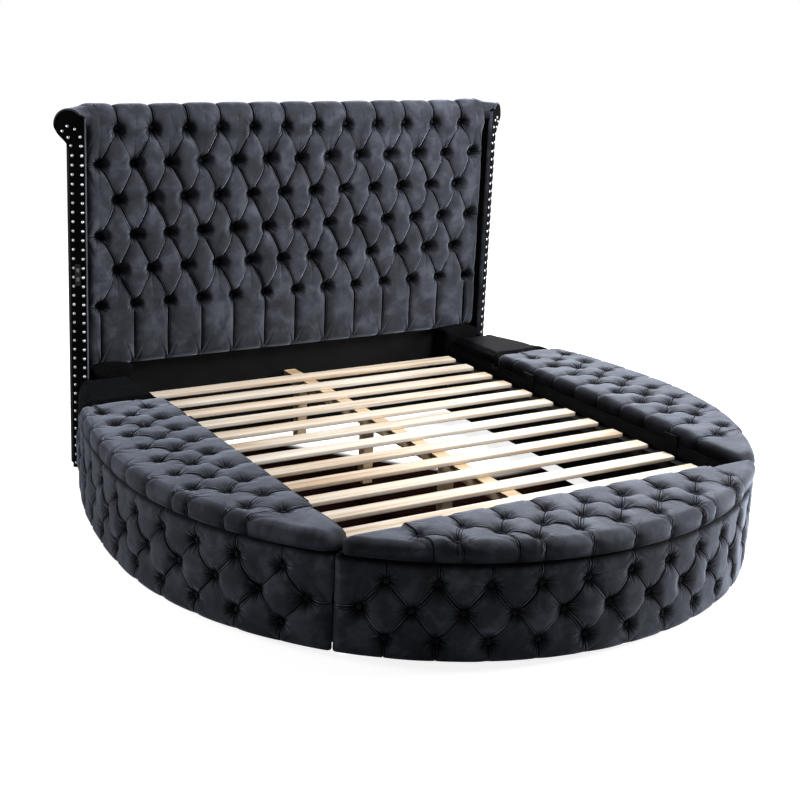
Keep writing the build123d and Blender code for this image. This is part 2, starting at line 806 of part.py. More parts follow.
fixed_leaf = leaf(well_half - leaf_thickness, well_half, box_top - leaf_drop, axis_z - knuckle_radius,
                  (thirds[0], thirds[2]))
moving_leaf = leaf(board_zero - leaf_thickness, board_zero, box_top + leaf_lift,
                   axis_z + leaf_thickness / 2, (thirds[1],))
pin = along_axis(Circle(pin_radius), -hinge_half, hinge_half)


def side_set(piece):
    return [Pos(0, share * bed_radius, 0) * piece for share in side_hinge_shares]


def foot_set(piece):
    turned = Pos(0, well_half - well_front, 0) * Rot(0, 0, 90) * piece
    return [Pos(share * bed_radius, 0, 0) * turned for share in foot_hinge_shares]


def all_sets(piece):
    left = side_set(piece)
    return left + [other_side(one) for one in left] + foot_set(piece)


parts["hinge_fixed_leaves"] = all_sets(fixed_leaf)
parts["hinge_pins"] = all_sets(pin)
parts["left_hinge_leaves"] = side_set(moving_leaf)
parts["foot_hinge_leaves"] = foot_set(moving_leaf)

# Slats and what carries them
slat_bottom = slat_top - slat_thickness
cleat_ends = (-well_front + fit, box_back - cleat_short)
cleat = bar(-well_half, cleat_width - well_half, *cleat_ends, slat_bottom - cleat_height, slat_bottom)
parts["slat_cleats"] = [cleat, other_side(cleat)]
slat_section = chamfer(Rectangle(slat_width, slat_thickness).vertices(), slat_round)
slat = extrude(Plane.YZ * slat_section, slat_length / 2, both=True)
for number in range(slat_count):
    slat_y = slat_back - slat_width / 2 - number * slat_pitch
    parts[f"slat_{number + 1:02d}"] = Pos(0, slat_y, slat_top - slat_thickness / 2) * slat
beam_bottom = slat_bottom - beam_height
parts["centre_beam"] = bar(-beam_width / 2, beam_width / 2, -well_front, head_front - cloth_thickness,
                           beam_bottom, slat_bottom)
parts["centre_legs"] = []
for number in range(3):
    leg = Box(leg_size, leg_size, beam_bottom)
    parts["centre_legs"].append(Pos(0, leg_first - number * leg_step, beam_bottom / 2) * leg)
block = Box(foot_size, foot_size, cover_bottom)
feet = []
for across, back in foot_shares:
    foot_y = back * (bed_radius if back < 0 else bench_end_y)
    foot_x = across * half_width(foot_y, 0)
    for x in sorted({-foot_x, foot_x}):
        feet.append(Pos(x, foot_y, cover_bottom / 2) * block)
parts["box_feet"] = feet

# Canted side boards of the headboard, with nails and charging plate, drawn on the right
turn = radians(board_angle)
board_plane = Plane(origin=(board_inner_x, board_inner_y, 0), x_dir=(cos(turn), sin(turn), 0),
                    z_dir=(sin(turn), -cos(turn), 0)).location


def scroll_point(angle):
    return (scroll_middle + scroll_radius * cos(radians(angle)),
            scroll_height + scroll_radius * sin(radians(angle)))


scroll_start = scroll_point(-neck_angle)
scroll_turn = (scroll_end_angle - neck_angle) / 2
outline = Polyline(scroll_point(scroll_end_angle), (0, board_inner_top), (0, 0), (board_width, 0),
                   (board_width, scroll_neck), scroll_start)
scroll = ThreePointArc(scroll_start, scroll_point(scroll_turn), scroll_point(scroll_end_angle))
board = board_plane * extrude(make_face([outline, scroll]), -board_thickness)
parts["right_scroll_board"] = board
parts["left_scroll_board"] = other_side(board)
nail = low_dome(nail_radius, 0, nail_height)
nail_spots = []
for row in (nail_inner, nail_outer):
    nail_spots += [(row, nail_low + k * nail_pitch) for k in range(nail_count)]
for share_w, share_z in scroll_nail_shares:
    nail_spots.append((scroll_middle + share_w * scroll_radius, scroll_height + share_z * scroll_radius))
right_nails = [board_plane * (Pos(w, z, 0) * nail) for w, z in nail_spots]
parts["strip_nails"] = right_nails + [other_side(one) for one in right_nails]

plate_middle = (nail_inner + nail_outer) / 2
plate = extrude(RectangleRounded(plate_width, plate_length, plate_round), plate_thickness)
port_hole = extrude(Rectangle(port_width + fit, port_length + fit), plate_thickness)
port = extrude(Rectangle(port_width, port_length), plate_thickness)
socket = Rectangle(port_width - 2 * port_wall, port_length - 2 * port_wall)
port -= Pos(0, 0, plate_thickness - port_depth) * extrude(socket, plate_thickness)
ports = []
for side in (-1, 1):
    plate -= Pos(0, side * port_offset, 0) * port_hole
    ports.append(other_side(board_plane * (Pos(plate_middle, plate_height + side * port_offset, 0) * port)))
parts["charging_plate"] = other_side(board_plane * (Pos(plate_middle, plate_height, 0) * plate))
parts["charging_ports"] = ports

# Headboard: core, cloth panel, corner posts and the tufted pad with its roll and wings
core_top = roll_height - roll_radius - fit
parts["headboard_panel"] = bar(-head_half, head_half, head_front, head_core_back, cover_bottom, core_top)
parts["lower_panel"] = bar(-flank_inner, flank_inner, head_front - cloth_thickness, head_front,
                           cloth_bottom, head_pad_bottom - fit)
in_front = board_plane * (Pos(0, 0, -board_thickness - fit) * extrude(
    Rectangle(4 * bed_radius, 4 * bed_radius), bed_radius))
post = bar(head_half + fit, post_half, board_inner_y, head_core_back, 0, core_top) - in_front
parts["right_post"] = post
parts["left_post"] = other_side(post)
net = head_tufting()
roll = Pos(0, roll_y, roll_height) * (Rot(0, 90, 0) * Cylinder(roll_radius, 2 * roll_half))
roll -= bar(-bed_radius, bed_radius, 0, head_front, 0, head_pad_top - head_roll)
wing = bar(flank_inner, head_half, flank_front, head_front, cover_bottom, head_pad_bottom + head_roll_step)
pad = net.solid() + roll + wing + other_side(wing)
parts["headboard_pad"] = pad - in_front - other_side(in_front)
parts["headboard_buttons"] = net.button_set()

# The right side repeats the left one
for name in list(parts):
    twin = name.replace("left_", "right_")
    if twin not in parts:
        pieces = parts[name] if isinstance(parts[name], list) else [parts[name]]
        parts[twin] = [other_side(one) for one in pieces]

os.makedirs("parts", exist_ok=True)
for name, made in parts.items():
    pieces = made if isinstance(made, list) else [made]
    solids = [solid for piece in pieces for solid in piece.solids()]
    moved = [Pos(0, shift_y, 0) * solid for solid in solids]
    export_step(Compound(moved) if len(moved) > 1 else moved[0], f"parts/{name}.step")
    print(name, len(moved), round(sum(solid.volume for solid in moved)))
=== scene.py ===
# %% [markdown]
# # A round storage bed in tufted velvet
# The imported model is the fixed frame: it holds every board, slat and hinge at its true place.
# This lesson dresses it. The tufted pads are the heart of the piece, so they are worked out
# from the lattice of their buttons, crease by crease, as an upholsterer would lay them out.

# %% Load the frame
import json
import math

import bmesh
import bpy
import numpy as np
from mathutils import Matrix, Vector


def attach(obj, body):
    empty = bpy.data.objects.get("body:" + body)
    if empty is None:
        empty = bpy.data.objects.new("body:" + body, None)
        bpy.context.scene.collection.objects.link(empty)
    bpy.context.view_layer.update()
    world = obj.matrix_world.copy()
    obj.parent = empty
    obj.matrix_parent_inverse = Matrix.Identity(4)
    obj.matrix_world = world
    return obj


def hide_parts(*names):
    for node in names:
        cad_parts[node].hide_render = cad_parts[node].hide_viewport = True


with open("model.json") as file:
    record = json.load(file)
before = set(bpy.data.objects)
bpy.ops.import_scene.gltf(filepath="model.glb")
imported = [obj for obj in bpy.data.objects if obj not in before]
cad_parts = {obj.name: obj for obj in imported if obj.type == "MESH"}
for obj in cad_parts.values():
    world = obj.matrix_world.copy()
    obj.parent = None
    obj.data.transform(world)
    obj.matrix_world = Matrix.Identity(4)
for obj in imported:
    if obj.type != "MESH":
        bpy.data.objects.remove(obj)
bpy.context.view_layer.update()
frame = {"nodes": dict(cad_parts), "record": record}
MM = 0.001
print("nodes in the frame:", len(frame["nodes"]))

# %% [markdown]
# ## Sizes
# The pads follow the same plan as the boards below them: a circle round the front, and two
# long, nearly straight arcs towards the headboard. All sizes are in millimetres.

# %% Sizes of the plan
bed_radius = 1272.0
bench_end = 1035.0            # how far the benches run back from the middle of the circle
narrowing = 217.0             # how much narrower the bed is there, on each side
side_radius = (narrowing**2 + bench_end**2) / (2 * narrowing)
side_centre = side_radius - bed_radius
circle_y = 32.0               # the middle of the circle, from the middle of the whole bed
box_top = 350.0


def half_width(y, inset):
    """Half the width of the plan at y, an inset inside its edge."""
    if y < 0:
        return math.sqrt((bed_radius - inset)**2 - y**2)
    return math.sqrt((side_radius - inset)**2 - y**2) - side_centre


print("side arcs have a radius of", round(side_radius), "mm")

# %% [markdown]
# ## Small helpers for meshes
# The cloth pieces are sewn from rows of points. These helpers join rows by faces, store a
# value on every point for the materials to read, and close a mesh with its faces outwards.


# %% Small helpers for meshes
def bands(rows, size, first=0):
    """Faces between closed rows of points that lie one after the other."""
    faces = []
    for here in range(first, first + (rows - 1) * size, size):
        for k in range(size):
            after = (k + 1) % size
            faces.append((here + k, here + size + k, here + size + after, here + after))
    return faces


def mark(mesh, name, values):
    """Stores a number, or a vector, on every point of a mesh."""
    values = np.asarray(values, dtype=np.float32)
    kind, field = ("FLOAT", "value") if values.ndim == 1 else ("FLOAT_VECTOR", "vector")
    mesh.attributes.new(name, kind, "POINT").data.foreach_set(field, values.ravel())


def mark_plain(mesh, light):
    """Marks cloth that has no folds: only how open it lies to the light."""
    size = len(mesh.vertices)
    mark(mesh, "light", np.full(size, light))
    mark(mesh, "fold", np.full(size, 100.0))
    mark(mesh, "spoke", np.full((size, 3), 200.0))


def smooth_shaded(mesh):
    mesh.polygons.foreach_set("use_smooth", [True] * len(mesh.polygons))
    mesh.update()
    return mesh


def closed(mesh, weld=0.0):
    """Welds points that lie closer than weld, and turns all faces outwards."""
    work = bmesh.new()
    work.from_mesh(mesh)
    if weld:
        bmesh.ops.remove_doubles(work, verts=work.verts, dist=weld * MM)
    bmesh.ops.recalc_face_normals(work, faces=work.faces)
    work.to_mesh(mesh)
    work.free()
    return smooth_shaded(mesh)


def stacked(name, rings, tip=None):
    """Joins equal rings of points into a closed mesh, whose far end is flat or runs to a tip."""
    size, points = len(rings[0]), np.concatenate(rings)
    last = len(points) - size
    faces = [tuple(range(size))] + bands(len(rings), size)
    if tip is None:
        faces.append(tuple(range(last, last + size)))
    else:
        points = np.concatenate([points, [tip]])
        faces += [(last + k, last + (k + 1) % size, last + size) for k in range(size)]
    made = bpy.data.meshes.new(name)
    made.from_pydata((points * MM).tolist(), [], faces)
    return closed(made)


def smooth(share):
    """A smooth step of a share from 0 to 1."""
    return share**2 * (3 - 2 * share)


def smooth_least(first, second, width):
    """The lesser of two heights, with the corner between them rounded off."""
    share = np.clip(0.5 + 0.5 * (second - first) / width, 0, 1)
    return second + (first - second) * share - width * share * (1 - share)


def wander(points, size, seed):
    """Gentle unevenness from a few sine waves, between about -1 and 1."""
    waves = np.random.default_rng(seed)
    total = np.zeros(len(points))
    for _ in range(5):
        turn = waves.uniform(0, 2 * math.pi)
        along = points @ np.array([math.cos(turn), math.sin(turn)])
        total += np.sin(along * 2 * math.pi / (size * waves.uniform(0.7, 1.5)) + waves.uniform(0, 6))
    return total / 3


def bowed(start, end, share, bow):
    """Points between two others at the given shares, bowed sideways by some mm."""
    ahead = end - start
    across = np.array([-ahead[1], ahead[0]]) / np.linalg.norm(ahead)
    return start + share[:, None] * ahead + bow * np.sin(np.pi * share)[:, None] * across


def border_of(lines):
    """Lays lines of (points, heights, softness) end to end, without their shared last points."""
    full = [(points, heights, np.full(len(points), soft)) for points, heights, soft in lines]
    return [np.concatenate([line[part][:-1] for line in full]) for part in range(3)]


print("a band of 3 rows of 8 points has", len(bands(3, 8)), "faces")

# %% [markdown]
# ## How a tufted pad is worked out
# On a real pad each button pulls the velvet down to the foam's base, and the cloth folds
# from button to button. Between the folds the foam stands up in pillows. So each pillow is
# its own fan of rings here, from its crown to its folds: the mesh lines then follow the
# folds, and they stay crisp without a heavy grid. At the pad's edge the same cloth turns
# down in a skirt, with a pleat from each outer button.


# %% A quilt: buttons, pleats and pillows on a flat plan
class Quilt:
    """Tufted cloth over a plan (a, b). A place function bends the result into the room.

    Each pad gives its own base (floor on top, side_top and bottom down its side), edge (turn
    rounds it, clear insets it), crown, valley, cone of a button's hollow (radius, slope,
    gathers, their depth), bulge and tuck of the skirt, powers that shape its pillows
    (crease_power, fullness), and notch and fade where a pleat meets the edge."""

    # sizes that most pads share, in mm
    step, rings = 9.0, 9                      # length of a mesh edge, rings in a pillow
    # painted shade: beyond these two heights the light attribute darkens the cloth towards a gap
    dark_above, dark_below = 1e9, -1e9        # where the cloth runs into a dark gap
    end_lift, ends_from = 0.0, 1e9            # the side starts higher beyond this place
    weld = 0.02
    skirt_steps = 7
    soft_fold = 30.0                          # marked distance to a fold where there is none
    hollow_blend = 9.0                        # rounds the rim of a button's hollow
    gather_crest, gather_width = 11.0, 12.0   # where the gathers round a button are highest
    near_end, near_run = 57.0, 43.0           # how far the streaks of a button reach
    uneven, uneven_size = 0.9, 130.0
    # the distances over which that painted shade deepens
    gap_above, gap_below = 14.0, 22.0         # over how much the cloth darkens towards a gap

    def __init__(self, place, sides, seed, **sizes):
        self.place, self.sides, self.seed = place, sides, seed
        self.random = np.random.default_rng(seed)
        self.buttons, self.pleats, self.diamonds, self.creases = {}, [], [], {}
        self.verts, self.faces, self.count = [], [], 0
        for name, value in sizes.items():
            setattr(self, name, value)

    def edge_distance(self, points):
        """Distance inside the rounded edge, and the direction in which it grows."""
        distances, inward = self.sides(points)
        lack = np.maximum(self.turn - distances, 0)
        size = np.sqrt((lack**2).sum(axis=0))
        direction = (lack[:, :, None] * inward).sum(axis=0) / np.maximum(size, 1e-6)[:, None]
        return self.turn - size, direction

    def settle(self, points):
        """Moves points, in small steps, to the line where the pad's side begins."""
        points = np.array(points, dtype=float)
        for _ in range(12):
            distance, direction = self.edge_distance(points)
            length = np.maximum((direction**2).sum(axis=1), 0.2)
            points += (np.clip(self.clear - distance, -30, 30) / length)[:, None] * direction
        return points

    def add_pillows(self):
        """Finds each diamond of four buttons."""
        spots = {(row, column + step) for row, column in self.buttons for step in (-1, 1)}
        for row, column in sorted(spots):
            ring = [(row, column + 1), (row + 1, column), (row, column - 1), (row - 1, column)]
            if all(name in self.buttons for name in ring):
                self.diamonds.append(ring)

    def add_pleat(self, chain, edge_point, corners=(), lift=1.0, fold=None):
        """A pleat to the edge from the first button of a chain, and a pillow beside it that
        runs along the chain and round the corners to the next pleat. lift is the pillow's
        height, and fold the pleat's: a high one doesn't show."""
        self.pleats.append((chain, edge_point, corners, lift, self.valley if fold is None else fold))

    def crease(self, first, second):
        """Points and heights along the fold between two buttons, the same from both sides."""
        key = tuple(sorted((first, second)))
        if key not in self.creases:
            start, end = (np.array(self.buttons[name]) for name in key)
            length = np.linalg.norm(end - start)
            count = max(6, 2 * round(length / self.step / 2))
            even = np.linspace(0, 1, count + 1)
            share = (even + (1 - np.cos(np.pi * even)) / 2) / 2
            points = bowed(start, end, share, self.random.uniform(-0.035, 0.035) * length)
            level = self.valley * self.random.uniform(0.82, 1.12)
            self.creases[key] = points, level * np.sin(np.pi * share)**0.6
        points, heights = self.creases[key]
        return (points, heights) if key[0] == first else (points[::-1], heights[::-1])

    def pleat_line(self, number):
        """Points and heights of a pleat, from its button to the edge."""
        if ("pleat", number) not in self.creases:
            chain, edge_point, _, _, fold = self.pleats[number]
            start, end = np.array(self.buttons[chain[0]]), self.settle([edge_point])[0]
            length = np.linalg.norm(end - start)
            share = np.linspace(0, 1, max(5, round(length / self.step)) + 1)
            near = np.minimum(share * length / min(55, length / 2), 1)
            far = np.minimum((1 - share) * length / min(self.fade, length / 3), 1)
            heights = fold * np.sin(np.pi / 2 * near)**0.6 * np.sin(np.pi / 2 * far)**0.7
            heights -= self.notch * (1 - far)**2
            points = bowed(start, end, share, self.random.uniform(-2.5, 2.5))
            self.creases["pleat", number] = points, heights
        return self.creases["pleat", number]

    def add_rows(self, rows):
        """Takes rings of points (a, b, height, drop, distance to a fold) and joins them."""
        first, size = self.count, len(rows[0])
        self.verts += rows
        self.count += len(rows) * size
        self.faces += bands(len(rows), size, first)
        return first

    def add_pillow(self, border, heights, soft, lift=1.0):
        """One pillow: rings from its crown out to its border. soft marks where it has no fold."""
        spread = np.linalg.norm(border - np.roll(border, -1, axis=0), axis=1)
        weight = spread + np.roll(spread, 1)
        centre = (border * weight[:, None]).sum(axis=0) / weight.sum()
        crown = self.crown * lift * self.random.uniform(0.94, 1.05)
        reach = np.linalg.norm(border - centre, axis=1)
        firm = np.median(heights)
        size, rows = len(border), []
        for ring in range(1, self.rings + 1):
            share = 1 - (1 - ring / self.rings)**1.6
            folded, plain = (1 - share**self.crease_power)**0.5, 1 - share**self.fullness
            inner = heights + soft * (firm - heights) * (1 - share**10)
            height = inner + (crown - inner) * (folded + (plain - folded) * soft)
            fold = (1 - share) * reach + self.soft_fold * soft
            rows.append(np.column_stack([centre + (border - centre) * share, height, np.zeros(size), fold]))
        first = self.add_rows(rows)
        tip = self.add_rows([np.array([[*centre, crown, 0, reach.mean()]])])
        self.faces += [(tip, first + k, first + (k + 1) % size) for k in range(size)]

    def add_skirt(self, hem, swell, fold):
        """Turns the cloth down along the hem, and keeps the points round its foot."""
        rows = []
        for drop in np.linspace(0, 1, self.skirt_steps + 1):
            out = swell * (1 - drop**3) - self.tuck * drop**4
            rows.append(np.column_stack([hem, out, np.full(len(hem), drop), fold]))
        self.add_rows(rows)
        self.under = tuple(range(self.count - len(hem), self.count))

    def weave(self):
        """Builds all the pillows between buttons, those at the edge, and the skirt."""
        for ring in self.diamonds:
            lines = [self.crease(name, ring[(index + 1) % 4]) for index, name in enumerate(ring)]
            self.add_pillow(*border_of([(*line, 0.0) for line in lines]))
        skirt = []
        for number, (chain, edge_point, corners, lift, fold) in enumerate(self.pleats):
            after = (number + 1) % len(self.pleats)
            hidden = [float(height > 1.5 * self.valley) for height in (fold, self.pleats[after][4])]
            turns = np.array([edge_point, *corners, self.pleats[after][1]])
            marks = np.concatenate([[0], np.cumsum(np.linalg.norm(np.diff(turns, axis=0), axis=1))])
            share = np.linspace(0, 1, max(4, round(marks[-1] / self.step)) + 1)
            rim = [np.interp(share * marks[-1], marks, turns[:, k]) for k in (0, 1)]
            rim = self.settle(np.column_stack(rim))
            taper = np.maximum(share, hidden[0]) * np.maximum(1 - share, hidden[1])
            taper = np.clip(taper * 4, 0, 1)
            swell = self.bulge * taper**0.5 - self.notch * (1 - taper)**2
            line, level = self.pleat_line(after)
            lines = [(rim, swell, taper**0.4), (line[::-1], level[::-1], hidden[1])]
            lines += [(*self.crease(one, two), 0.0) for one, two in zip(chain[::-1], chain[-2::-1])]
            lines.append((*self.pleat_line(number), hidden[0]))
            self.add_pillow(*border_of(lines), lift)
            skirt.append((rim, swell, self.soft_fold * taper**0.4))
        self.add_skirt(*border_of(skirt))

    def in_the_room(self, data):
        """Adds button hollows and gathers, then bends plan and height into the room."""
        points, rise, drop, self.fold = data[:, :2], data[:, 2], data[:, 3], data[:, 4]
        on_top, well = drop == 0, 1.0
        self.spoke, self.near = np.full((len(points), 3), 200.0), np.zeros(len(points))
        if self.buttons:
            spots = np.array(list(self.buttons.values()))
            apart = points[:, None, :] - spots[None, :, :]
            away = np.linalg.norm(apart, axis=2)
            nearest = away.argmin(axis=1)
            radius = away[np.arange(len(points)), nearest]
            offset = apart[np.arange(len(points)), nearest]
            turn = np.arctan2(offset[:, 1], offset[:, 0])
            reach, slope, folds, depth = self.cone
            pull = np.random.default_rng(self.seed).uniform(0.92, 1.32, len(spots))
            hollow = slope * pull[nearest] * np.maximum(radius - reach, 0)
            pulled = smooth_least(rise, hollow, self.hollow_blend)
            gather = np.sin(folds * turn + nearest * 2.4) + 0.6 * np.sin((folds + 4) * turn + nearest)
            gather *= depth * np.exp(-((radius - reach - self.gather_crest) / self.gather_width)**2)
            least = np.minimum(0.2 * np.minimum(rise, 1), rise)
            rise = np.where(on_top, np.maximum(pulled + gather, least), rise)
            well = np.clip(hollow / (0.7 * self.crown), 0, 1)**1.1
            self.spoke = np.column_stack([offset, 1.7 * nearest])
            self.near = smooth(np.clip((self.near_end - radius) / self.near_run, 0, 1) * on_top)
        waves = self.uneven * wander(points, self.uneven_size, self.seed) * np.clip(rise / 20, 0, 1)
        rise = rise + np.where(on_top, waves, 0)
        # painted shade: the light attribute is low in the button wells, falls towards black down the skirt,
        # and darkens towards the gaps above and below
        self.light = np.where(on_top, well, 1 - 0.95 * drop**1.5)
        self.light *= np.clip((self.dark_above - points[:, 1]) / self.gap_above, 0.04, 1)
        self.light *= np.clip((points[:, 1] - self.dark_below) / self.gap_below, 0.1, 1)
        distance, inward = self.edge_distance(points)
        share = np.clip((distance - self.clear) / (self.turn - self.clear), 0, 1)
        up = np.where(on_top, np.sqrt(1 - (1 - share)**2), 0)
        lean = np.where(on_top, 1 - share, 1)
        beyond = np.clip((np.abs(points[:, 0]) - self.ends_from) / 20, 0, 1)
        side_top = self.side_top + self.end_lift * beyond
        base = np.where(on_top, side_top + (self.floor - side_top) * up,
                        side_top + (self.bottom - side_top) * drop)
        plan = points - inward * (lean * np.minimum(rise, self.bulge))[:, None]
        return self.place(plan[:, 0], plan[:, 1], base + up * rise)

    def mesh(self, name):
        """Makes the mesh, welds the pillows along their folds and closes the underside."""
        if not self.verts:
            self.weave()
        places = self.in_the_room(np.concatenate(self.verts)) * MM
        made = bpy.data.meshes.new(name)
        made.from_pydata(places.tolist(), [], self.faces + [self.under])
        for field in ("light", "fold", "near", "spoke"):
            mark(made, field, getattr(self, field))
        return closed(made, self.weld)


print("a skirt turns down in", Quilt.skirt_steps, "steps")

# %% [markdown]
# ## Velvet
# The cloth is a short-pile polyester velvet in charcoal. Pile drinks light when seen face on
# and throws it back along the rims of a fold, which is what the sheen does. The nap lies in
# slightly different directions from place to place, so it is mottled softly, and the pile
# itself gives a very fine bump.


# %% Small helpers for materials
def linear(code):
    """An sRGB hex colour as linear RGBA."""
    parts = [int(code[k:k + 2], 16) / 255 for k in (1, 3, 5)]
    return [c / 12.92 if c <= 0.04045 else ((c + 0.055) / 1.055)**2.4 for c in parts] + [1.0]


def add(tree, kind, settings=None, inputs=None, links=None):
    """Adds a node to a tree, with its settings, its plain inputs and its links."""
    node = tree.nodes.new(kind)
    for name, value in (settings or {}).items():
        setattr(node, name, value)
    for name, value in (inputs or {}).items():
        node.inputs[name].default_value = value
    for name, source in (links or {}).items():
        tree.links.new(source, node.inputs[name])
    return node


def new_material(name, **shader):
    """A material with one Principled shader; returns it, its tree, the shader and its place."""
    material = bpy.data.materials.new(name)
    material.use_nodes = True
    tree = material.node_tree
    tree.nodes.clear()
    principled = add(tree, "ShaderNodeBsdfPrincipled", inputs=shader)
    add(tree, "ShaderNodeOutputMaterial", links={"Surface": principled.outputs["BSDF"]})
    return material, tree, principled, add(tree, "ShaderNodeTexCoord").outputs["Object"]


def ramp(tree, source, stops):
    """A colour ramp from places to hex colours."""
    node = add(tree, "ShaderNodeValToRGB", links={"Fac": source})
    band = node.color_ramp
    while len(band.elements) < len(stops):
        band.elements.new(0.5)
    for element, (place, code) in zip(band.elements, stops):
        element.position = place
        element.color = linear(code)
    return node.outputs["Color"]


def falloff(tree, value, first, last, low=0.0, high=1.0, way="SMOOTHSTEP"):
    """A value's way from low at first to high at last, as a smooth step or a straight line."""
    return add(tree, "ShaderNodeMapRange", {"interpolation_type": way},
               {"From Min": first, "From Max": last, "To Min": low, "To Max": high},
               {"Value": value}).outputs["Result"]


def combine(tree, operation, first, *others):
    """Math nodes on two or more values in turn; each is a socket or a plain number."""
    for second in others:
        node = add(tree, "ShaderNodeMath", {"operation": operation})
        for index, value in enumerate((first, second)):
            if isinstance(value, (int, float)):
                node.inputs[index].default_value = value
            else:
                tree.links.new(value, node.inputs[index])
        first = node.outputs["Value"]
    return first


def blend(tree, share, low, high, way="MIX"):
    """Mixes two colours, each a socket or a hex colour."""
    node = add(tree, "ShaderNodeMix", {"data_type": "RGBA", "blend_type": way}, links={0: share})
    for index, colour in ((6, low), (7, high)):
        if isinstance(colour, str):
            node.inputs[index].default_value = linear(colour)
        else:
            tree.links.new(colour, node.inputs[index])
    return node.outputs[2]


def noise(tree, place, scale, detail, roughness=0.5, distortion=0.0):
    """Blender's noise: scale is the number of blobs in a metre."""
    return add(tree, "ShaderNodeTexNoise", inputs={
        "Scale": scale, "Detail": detail, "Roughness": roughness, "Distortion": distortion},
        links={"Vector": place}).outputs["Fac"]


def stored(tree, name, output="Fac"):
    """What a mesh stores on its points under a name."""
    return add(tree, "ShaderNodeAttribute", {"attribute_name": name}).outputs[output]


def bumps(tree, shader, *layers):
    """Lays bumps over each other: each is a height, a strength and a depth in metres."""
    normal = None
    for height, strength, depth in layers:
        links = {"Height": height, "Normal": normal} if normal else {"Height": height}
        normal = add(tree, "ShaderNodeBump", inputs={"Strength": strength, "Distance": depth},
                     links=links).outputs[0]
    tree.links.new(normal, shader.inputs["Normal"])


def velvet(name, dark, mid, light, sheen, gloss=0.12):
    """Short-pile velvet: mottled nap, fine pile bump and a soft bright rim, with painted shade in
    its folds and wells. Four attributes of the mesh guide it: light (painted shade, low in the wells),
    fold (mm from a fold), spoke (the way out from a button) and near (1 at a button, 0 from 57 mm on)."""
    material, tree, shader, coords = new_material(name, **{
        "Roughness": 0.8, "Sheen Roughness": 0.38, "Sheen Tint": linear("#959CAC")})
    fold = stored(tree, "fold")
    # the nap is brushed in patches 50 to 150 mm across
    nap = noise(tree, coords, 9.0, 4.0, 0.62, 0.3)
    colour = ramp(tree, nap, ((0.32, dark), (0.5, mid), (0.68, light)))
    # gathers: streaks that run out from each button and fade within 57 mm, both as a bump and as painted
    # shade
    split = add(tree, "ShaderNodeSeparateXYZ", links={"Vector": stored(tree, "spoke", "Vector")}).outputs
    flat = add(tree, "ShaderNodeCombineXYZ", links={"X": split["X"], "Y": split["Y"]})
    around = add(tree, "ShaderNodeVectorMath", {"operation": "NORMALIZE"}, links={0: flat.outputs[0]})
    apart = add(tree, "ShaderNodeCombineXYZ", links={"Z": split["Z"]})
    place = add(tree, "ShaderNodeVectorMath", {"operation": "MULTIPLY_ADD"}, {1: (3.4, 3.4, 0)},
                {0: around.outputs["Vector"], 2: apart.outputs["Vector"]})
    streaks = falloff(tree, noise(tree, place.outputs["Vector"], 1.0, 2.0, 0.7), 0.38, 0.6)
    gathers = combine(tree, "MULTIPLY", streaks, stored(tree, "near"))

    def off_fold(distance):
        """How far a point lies from a line beside the fold, in mm."""
        return combine(tree, "ABSOLUTE", combine(tree, "SUBTRACT", fold, distance), 0.0)

    # folds: painted shade in a dark line 3 mm wide, and here and there a second one 9 mm away
    line = falloff(tree, fold, 0.6, 4.2, 0.12, 1.0)
    here = falloff(tree, noise(tree, coords, 6.0, 1.0), 0.40, 0.52, 0.0, 0.8)
    second = combine(tree, "MULTIPLY", falloff(tree, off_fold(9.0), 2.4, 0.4), here)
    shade = combine(tree, "MULTIPLY", line, combine(tree, "SUBTRACT", 1.0, second),
                    combine(tree, "SUBTRACT", 1.0, combine(tree, "MULTIPLY", gathers, 0.5)),
                    stored(tree, "light"))
    # painted shade: the colour runs towards near black, and the sheen and gloss fade, in the fold lines, the
    # gathers and wherever the mesh marks little light
    tree.links.new(blend(tree, shade, "#030304", colour), shader.inputs["Base Color"])
    tree.links.new(combine(tree, "MULTIPLY", shade, sheen), shader.inputs["Sheen Weight"])
    tree.links.new(combine(tree, "MULTIPLY", shade, gloss), shader.inputs["Specular IOR Level"])
    # the fold's lip, the gathers, crushed patches 30 mm across and the pile itself
    lip = combine(tree, "MULTIPLY", falloff(tree, off_fold(5.5), 3.4, 0.0), combine(tree, "ADD", here, 0.3))
    bumps(tree, shader, (lip, 0.8, 0.0026), (gathers, 0.9, 0.004),
          (noise(tree, coords, 30.0, 2.0), 0.18, 0.005),
          (noise(tree, coords, 900.0, 2.0, 0.7), 0.35, 0.0006))
    return material


charcoal_velvet = velvet("charcoal polyester velvet", "#1B1C20", "#282A31", "#3E4149", 1.1)
# painted shade: a near-black copy of the charcoal velvet, for the rear pads and wings that lie in the
# headboard's shadow
shaded_velvet = velvet("charcoal velvet with its nap laid back", "#020203", "#040405", "#08080A", 0.03, 0.03)
black_velvet = velvet("black polyester velvet", "#020203", "#030304", "#060607", 0.02, 0.03)
print("velvets:", charcoal_velvet.name, "and", black_velvet.name)

# %% [markdown]
# ## The lattice of a lid
# The buttons of a lid lie in three rows that follow the straight hinge side, each row half a
# step over from the last. Towards the tips the outer rows run out, so the lattice keeps only
# buttons that stand clear of the round edge. Where a column ends, a pleat runs to the hem.

# %% Lid quilts
lid_inset, lid_setback, lid_gap = 2.0, 6.0, 8.0
rail_face, foot_rail_face = 820.0, 890.0
least_margin = 40.0           # from a button to the edge
side_zero, foot_zero = rail_face + lid_setback, foot_rail_face + lid_setback
lid_room = 5.0                # keeps the open side lids clear of the open foot lid
side_front, side_rear = lid_gap + lid_room - foot_zero, 650.0
foot_tip = 896.0


def arc_walk(first, last, reach):
    """Places along a round edge, strictly between two of its points."""
    count = max(1, round(abs(last - first) / 60))
    return [(a, reach(a)) for a in np.linspace(first, last, count + 1)[1:-1]]


def zigzag(low, high, column, side):
    """The buttons up one end of a lattice, in its column and the one beside it by turns."""
    chain = [(low, column)]
    for row in range(low, high, 2):
        chain += [(row + 1, column + side), (row + 2, column)]
    return chain


